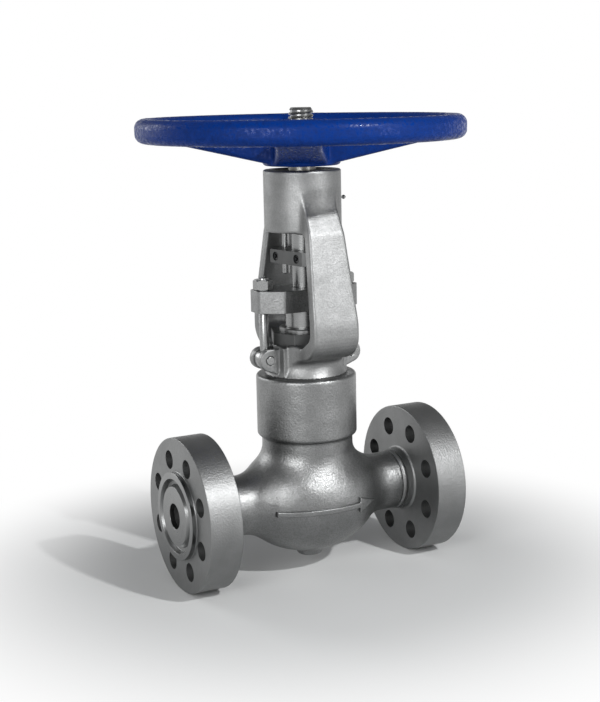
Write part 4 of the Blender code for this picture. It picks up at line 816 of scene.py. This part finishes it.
def makeStemNut():
    low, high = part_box("stem_nut")
    wide = (high.x - low.x) / 2
    base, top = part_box("lower_thrust_bearing")[1].z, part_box("upper_thrust_bearing")[0].z
    neck, waist, bore = 24.5 * mm, 21 * mm, 19.35 * mm
    waistLow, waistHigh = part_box("bearing_cap")[1].z - 4 * mm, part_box("handwheel")[0].z + 4 * mm
    profile = [(bore, low.z), (bore, high.z), (neck, high.z), (neck, waistHigh), (waist, waistHigh),
               (waist, waistLow), (neck, waistLow), (neck, top - 0.3 * mm), (wide, top - 0.3 * mm),
               (wide, base + 0.3 * mm), (neck, base + 0.3 * mm), (neck, low.z)]
    turnedPiece("stemNut", profile, 1 * mm, nickelIron, "wheel", ["stem_nut"])


makeStemNut()


def nutPiece(name, node, sides, flats, bore, turn, edge, material, body):
    low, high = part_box(node)
    centre = (low + high) / 2
    height = high.z - low.z
    outer = flats / 2 / math.cos(math.pi / sides)
    piece = newPiece(name, prismShape(polygon(sides, flats, turn), 0, height), material, None)
    if sides == 6:  # a hexagon's corners are turned off at 30 degrees, the octagon is only milled
        drop = (outer - flats / 2) * 1.1
        slope = drop * math.tan(math.radians(30)) * 1.6
        limit = [(0, 0), (outer - drop, 0), (outer + 1e-4, slope), (outer + 1e-4, height - slope),
                 (outer - drop, height), (0, height)]
        carve(piece, [turnedShape(limit, 96)], "INTERSECT")
    hole = [(0, -1e-3), (bore + 1e-3, -1e-3), (bore + 1e-3, 0), (bore, 1e-3), (bore, height - 1e-3),
            (bore + 1e-3, height), (bore + 1e-3, height + 1e-3), (0, height + 1e-3)]
    carve(piece, [turnedShape(hole, 64)])
    softenEdges(piece, edge, 2, 28)
    piece.data.transform(Matrix.Translation((centre.x, centre.y, low.z)))
    handOver(piece, body, [node])
    return piece


nutPiece("bonnetNut", "bonnet_nut", 8, 101.6 * mm, 40.3 * mm, 0, 2.2 * mm, shadeDarkenedGuideMetal, "frame")
nutPiece("handwheelNut", "handwheel_nut", 6, 64 * mm, 24.8 * mm, 0, 0.5 * mm, turnedMetal, "wheel")

boltSizes = {"x": 70 * mm, "eyeZ": 223.1 * mm, "shank": 7.3 * mm, "thread": 8 * mm, "pitch": 2 * mm,
             "ridge": 0.75 * mm, "threadLength": 50 * mm, "eye": 14.5 * mm, "eyeHalf": 8.25 * mm,
             "hole": 6.8 * mm, "pin": 6.5 * mm}


def makeEyeBolt(side, word):
    s = boltSizes
    x = side * s["x"]
    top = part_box(f"eye_bolt_{word}_side")[1].z
    low = top - s["threadLength"]
    core = s["thread"] - 1.2 * mm
    shank = [(0, s["eyeZ"] + 8 * mm), (s["shank"], s["eyeZ"] + 8 * mm), (s["shank"], low - 1 * mm),
             (core, low), (core, top - 4 * mm), (s["thread"] - 0.3 * mm, top - 3.6 * mm),
             (s["thread"] - 0.8 * mm, top - 1 * mm), (s["thread"] - 3 * mm, top), (0, top)]
    piece = newPiece(f"eyeBolt_{word}", turnedShape(shank, 48), brightMetal, None)
    addThread(piece, s["pitch"], s["thread"], low, top - 4 * mm, s["ridge"])
    eye = turnedShape(rounded([(s["hole"], s["eyeHalf"]), (s["eye"], s["eyeHalf"]),
                               (s["eye"], -s["eyeHalf"]), (s["hole"], -s["eyeHalf"])], 1.2 * mm, 3), 64)
    moved(eye, Matrix.Translation((0, 0, s["eyeZ"])) @ Matrix.Rotation(math.pi / 2, 4, "X"))
    shape = bmesh.new()
    shape.from_mesh(piece.data)
    eyeMesh = bpy.data.meshes.new("eye")
    eye.to_mesh(eyeMesh)
    eye.free()
    shape.from_mesh(eyeMesh)
    bmesh.ops.translate(shape, verts=shape.verts, vec=(x, 0, 0))
    bpy.data.objects.remove(piece)
    newPiece(f"eyeBolt.{word}", shape, brightMetal, "frame",
             [f"eye_bolt_{word}_side"])
    nutPiece(f"eyeBoltNut.{word}", f"eye_bolt_nut_{word}_side", 6, 27 * mm, 8.2 * mm, math.pi / 6,
             0.4 * mm, brightMetal, "frame")
    low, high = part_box(f"eye_bolt_pin_{word}_side")
    place = Matrix.Translation((x, 0, s["eyeZ"])) @ Matrix.Rotation(math.pi / 2, 4, "X")
    pin = [(0, high.y), (s["pin"], high.y), (s["pin"], low.y), (0, low.y)]
    turnedPiece(f"eyeBoltPin.{word}", pin, {1: 0.8 * mm, 2: 0.8 * mm}, brightMetal, "frame",
                [f"eye_bolt_pin_{word}_side"], 48, place)


makeEyeBolt(-1, "inlet")
makeEyeBolt(1, "outlet")
print("screws and nuts made")


glandSizes = {"half": 85.5 * mm, "end": 15 * mm, "wide": 37 * mm, "taper": 33 * mm, "corner": 9 * mm,
              "stemHole": 20.3 * mm, "boltHole": 9 * mm, "edge": 2 * mm}


def makeGlandFlange():
    s = glandSizes
    low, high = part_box("gland_flange")
    inner = s["half"] - s["taper"]
    half = [(s["half"], -s["end"]), (s["half"], s["end"]), (inner, s["wide"]), (-inner, s["wide"])]
    corners = half + [(-x, -y) for x, y in half]
    piece = newPiece("glandFlange", prismShape(rounded(corners, s["corner"], 6), low.z, high.z),
                     castMetal, None)
    cuts = [rod(s["stemHole"], (0, 0, low.z - 0.01), (0, 0, high.z + 0.01), 96)]
    for side in (-1, 1):
        x = side * boltSizes["x"]
        cuts.append(rod(s["boltHole"], (x, 0, low.z - 0.01), (x, 0, high.z + 0.01)))
    carve(piece, cuts)
    softenEdges(piece, s["edge"], 3, 40)
    handOver(piece, "frame", ["gland_flange"])


makeGlandFlange()


guideSizes = {"turn": math.radians(9), "low": 365.6 * mm, "high": 386.4 * mm, "half": 34 * mm,
              "flat": 40 * mm, "long": 58 * mm, "split": 1 * mm, "screwY": 26.5 * mm,
              "head": 6.5 * mm, "headHeight": 8 * mm, "shank": 4 * mm, "rodY": 47 * mm,
              "rod": 6.25 * mm}


def makeGuide():
    s = guideSizes
    middle = (s["low"] + s["high"]) / 2
    turn = Matrix.Rotation(s["turn"], 4, "Z")
    seat = s["half"] - s["headHeight"] - 1 * mm
    for word, flip in (("inlet", 0), ("outlet", math.pi)):
        end = s["half"] * 0.45
        outline = [(-s["split"], -s["long"]), (-s["split"], s["long"]), (-end, s["long"]),
                   (-s["half"], s["flat"]), (-s["half"], -s["flat"]), (-end, -s["long"])]
        outline = rounded(outline, {2: 2 * mm, 3: 2 * mm, 4: 2 * mm, 5: 2 * mm}, 4)
        piece = newPiece(f"guideHalf.{word}", prismShape(outline, s["low"], s["high"]), shadeDarkenedGuideMetal,
                         None)
        cuts = [rod(19.05 * mm, (0, 0, 0.3), (0, 0, 0.5), 96)]
        for face in (-1, 1):
            y = face * s["rodY"]
            cuts.append(rod(s["rod"] + 0.6 * mm, (0, y, 0.3), (0, y, 0.5)))
            y = face * s["screwY"]
            cuts.append(rod(s["head"] + 0.3 * mm, (-0.06, y, middle), (-seat, y, middle)))
        carve(piece, cuts)
        softenEdges(piece, 0.9 * mm, 2, 40)
        piece.data.transform(turn @ Matrix.Rotation(flip, 4, "Z"))
        handOver(piece, "rising_stem", [f"guide_half_{word}_side"])
    for word, face in (("far", 1), ("near", -1)):
        spot = turn @ Matrix.Translation((0, face * s["screwY"], middle))
        spot = spot @ Matrix.Rotation(-math.pi / 2, 4, "Y")
        top = seat + s["headHeight"]
        screw = [(0, -seat), (s["shank"], -seat), (s["shank"], seat + 0.3 * mm),
                 (s["head"], seat + 0.3 * mm), (s["head"], top), (0, top)]
        shape = turnedShape(rounded(screw, {4: 0.8 * mm}, 3), 48)
        piece = newPiece(f"guideScrew.{word}", shape, blackSteel, None)
        carve(piece, [prismShape(polygon(6, 6 * mm), top - 5 * mm, top + 5 * mm)])
        piece.data.transform(spot)
        handOver(piece, "rising_stem", [f"guide_screw_{word}"])
        low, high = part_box(f"guide_rod_{word}")
        centre = turn @ Vector((0, face * s["rodY"], 0))
        rail = [(0, low.z), (s["rod"], low.z), (s["rod"], high.z), (0, high.z)]
        turnedPiece(f"guideRod.{word}", rail, {1: 1 * mm}, brightMetal, "frame",
                    [f"guide_rod_{word}"], 48, Matrix.Translation((centre.x, centre.y, 0)))


makeGuide()


def makeNipple():  # hexagon foot, waist and rounded head, standing out along +X
    low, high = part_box("grease_nipple")
    base = 59 * mm
    place = Matrix.Translation((base, 0, (low.z + high.z) / 2)) @ Matrix.Rotation(math.pi / 2, 4, "Y")
    profile = [(0, low.x - base), (3 * mm, low.x - base), (3 * mm, 4 * mm), (1.9 * mm, 5.5 * mm),
               (1.8 * mm, 9.5 * mm), (3.2 * mm, 11.5 * mm), (3.3 * mm, 13.2 * mm),
               (1.5 * mm, high.x - base), (0, high.x - base)]
    shape = turnedShape(rounded(profile, {5: 0.6 * mm, 6: 0.6 * mm}, 3), 32)
    piece = newPiece("greaseNipple", shape, turnedMetal, None)
    carve(piece, [prismShape(polygon(6, 7.4 * mm), 0.2 * mm, 4.2 * mm)], "UNION")
    piece.data.transform(place)
    piece.data.shade_smooth()
    piece.data.set_sharp_from_angle(angle=math.radians(32))
    handOver(piece, "frame", ["grease_nipple"])


makeNipple()
print("gland, guide and nipple made")

# what is left of the CAD nodes keeps its own shape and takes the matching finish
leftFinish = {"cast_steel": castMetal, "machined_steel": turnedMetal, "bright_steel": brightMetal,
              "blue_paint": wheelPaint}
graphite, tree, shader, place = startMaterial("pressedGraphite", "#232425", 0.2, 0.55)
pores = grain(tree, place, 0.8 * mm).outputs["Fac"]
tree.links.new(bump(tree, pores, 0.05 * mm), shader.inputs["Normal"])
leftFinish["graphite"] = graphite
slotOf = {row["node"]: row["material_slot"] for row in frame["record"]["subparts"]}
for name, node in frame["nodes"].items():
    for entry in node.material_slots:
        entry.material = leftFinish[slotOf[name]]


# floor, lights, camera
stageSizes = {"floorZ": -117.5 * mm, "floorHalf": 14.0, "floor": "#c4c5c5", "fadeStart": 0.26,
              "fadeEnd": 0.68, "sky": "#ffffff", "soft": "#eef0f2", "softStrength": 0.22,
              "horizon": 0.10, "zenith": 0.30, "highStrength": 0.24}


def shownRays(tree):  # 1 for what the camera sees directly, in metal or through glass
    rays = addNode(tree, "ShaderNodeLightPath").outputs
    seen = addNode(tree, "ShaderNodeMath", {"operation": "MAXIMUM"},
                   {0: rays["Is Camera Ray"], 1: rays["Is Glossy Ray"]})
    return addNode(tree, "ShaderNodeMath", {"operation": "MAXIMUM"},
                   {0: seen.outputs[0], 1: rays["Is Transmission Ray"]}).outputs[0]


def makeStage():  # a pale floor that keeps the shadow and fades to the white backdrop
    s = stageSizes
    shape = bmesh.new()
    bmesh.ops.create_circle(shape, cap_ends=True, segments=96, radius=s["floorHalf"])
    bmesh.ops.translate(shape, verts=shape.verts, vec=(0, 0, s["floorZ"]))
    material, tree, shader, place = startMaterial("paleStudioFloor", s["floor"], 0.0, 0.8)
    split = addNode(tree, "ShaderNodeSeparateXYZ", None, {"Vector": place})
    flat = addNode(tree, "ShaderNodeCombineXYZ", None,
                   {"X": split.outputs["X"], "Y": split.outputs["Y"]})
    away = addNode(tree, "ShaderNodeVectorMath", {"operation": "LENGTH"}, {0: flat.outputs[0]})
    fade = addNode(tree, "ShaderNodeMapRange", {"interpolation_type": "SMOOTHSTEP"}, {
        "Value": away.outputs["Value"], "From Min": s["fadeStart"], "From Max": s["fadeEnd"]})
    share = addNode(tree, "ShaderNodeMath", {"operation": "MULTIPLY"},
                    {0: fade.outputs["Result"], 1: shownRays(tree)})
    white = addNode(tree, "ShaderNodeEmission", None,
                    {"Color": (*toLinear(s["sky"]), 1), "Strength": 1.0})
    mix = addNode(tree, "ShaderNodeMixShader", None, {
        0: share.outputs[0], 1: shader.outputs[0], 2: white.outputs[0]})
    out = tree.nodes["Material Output"]
    tree.links.new(mix.outputs[0], out.inputs["Surface"])
    mesh = bpy.data.meshes.new("studioFloor")
    shape.to_mesh(mesh)
    shape.free()
    mesh.materials.append(material)
    floor = bpy.data.objects.new("studioFloor", mesh)
    bpy.context.scene.collection.objects.link(floor)


makeStage()


def makeWorld():  # white round the horizon and greyer overhead, and plain soft light on the object
    s = stageSizes
    world = bpy.data.worlds.new("studio")
    bpy.context.scene.world = world
    world.use_nodes = True
    tree = world.node_tree
    tree.nodes.clear()
    way = addNode(tree, "ShaderNodeTexCoord").outputs["Generated"]
    split = addNode(tree, "ShaderNodeSeparateXYZ", None, {"Vector": way})
    height = addNode(tree, "ShaderNodeMapRange", {"interpolation_type": "SMOOTHSTEP"}, {
        "Value": split.outputs["Z"], "From Min": s["horizon"], "From Max": s["zenith"],
        "To Min": 1.0, "To Max": s["highStrength"]})
    pale = addNode(tree, "ShaderNodeBackground", None, {
        "Color": (*toLinear(s["sky"]), 1), "Strength": height.outputs["Result"]})
    soft = addNode(tree, "ShaderNodeBackground", None, {
        "Color": (*toLinear(s["soft"]), 1), "Strength": s["softStrength"]})
    mix = addNode(tree, "ShaderNodeMixShader", None, {
        0: shownRays(tree), 1: soft.outputs[0], 2: pale.outputs[0]})
    addNode(tree, "ShaderNodeOutputWorld", None, {"Surface": mix.outputs[0]})


makeWorld()

lamps = {  # a small hard lamp high on the right, soft boxes low on both sides, a faint one behind
    "keyLamp": {"at": (0.70, -2.15, 1.815), "to": (0, 0, 0.3), "size": (0.10, 0.10), "power": 60},
    "leftBox": {"at": (-1.70, -1.45, 0.92), "to": (0, 0, 0.22), "size": (1.2, 0.9), "power": 30},
    "rightBox": {"at": (1.15, -2.05, 0.72), "to": (0, 0, 0.22), "size": (0.8, 1.2), "power": 12},
    "backLamp": {"at": (-1.4, 2.3, 1.2), "to": (0, 0, 0.2), "size": (1.2, 1.2), "power": 22},
}
for name, s in lamps.items():
    lamp = bpy.data.lights.new(name, "AREA")
    lamp.shape, lamp.energy = "RECTANGLE", s["power"]
    lamp.size, lamp.size_y = s["size"]
    holder = bpy.data.objects.new(name, lamp)
    holder.location = s["at"]
    holder.rotation_euler = (Vector(s["to"]) - Vector(s["at"])).to_track_quat("-Z", "Y").to_euler()
    bpy.context.scene.collection.objects.link(holder)

view = {"at": (-0.9737, -1.8574, 0.6308), "yaw": 28.67, "pitch": 9.98, "roll": -1.0, "lens": 70.83,
        "shift": (-0.0413, -0.0315)}


def makeCamera():
    camera = bpy.data.cameras.new("camera")
    camera.lens, camera.sensor_width = view["lens"], 36
    camera.shift_x, camera.shift_y = view["shift"]
    camera.clip_end = 60
    holder = bpy.data.objects.new("camera", camera)
    yaw, pitch, roll = [math.radians(view[k]) for k in ("yaw", "pitch", "roll")]
    flat = math.cos(pitch)
    forward = Vector((math.sin(yaw) * flat, math.cos(yaw) * flat, -math.sin(pitch)))
    right = Vector((math.cos(yaw), -math.sin(yaw), 0))
    up = right.cross(forward)
    side = right * math.cos(roll) + up * math.sin(roll)
    top = up * math.cos(roll) - right * math.sin(roll)
    turn = Matrix((side, top, -forward)).transposed().to_4x4()
    holder.matrix_world = Matrix.Translation(view["at"]) @ turn
    bpy.context.scene.collection.objects.link(holder)
    bpy.context.scene.camera = holder


makeCamera()
bpy.context.scene.view_settings.view_transform = "Standard"
print("stage, lights and camera made")
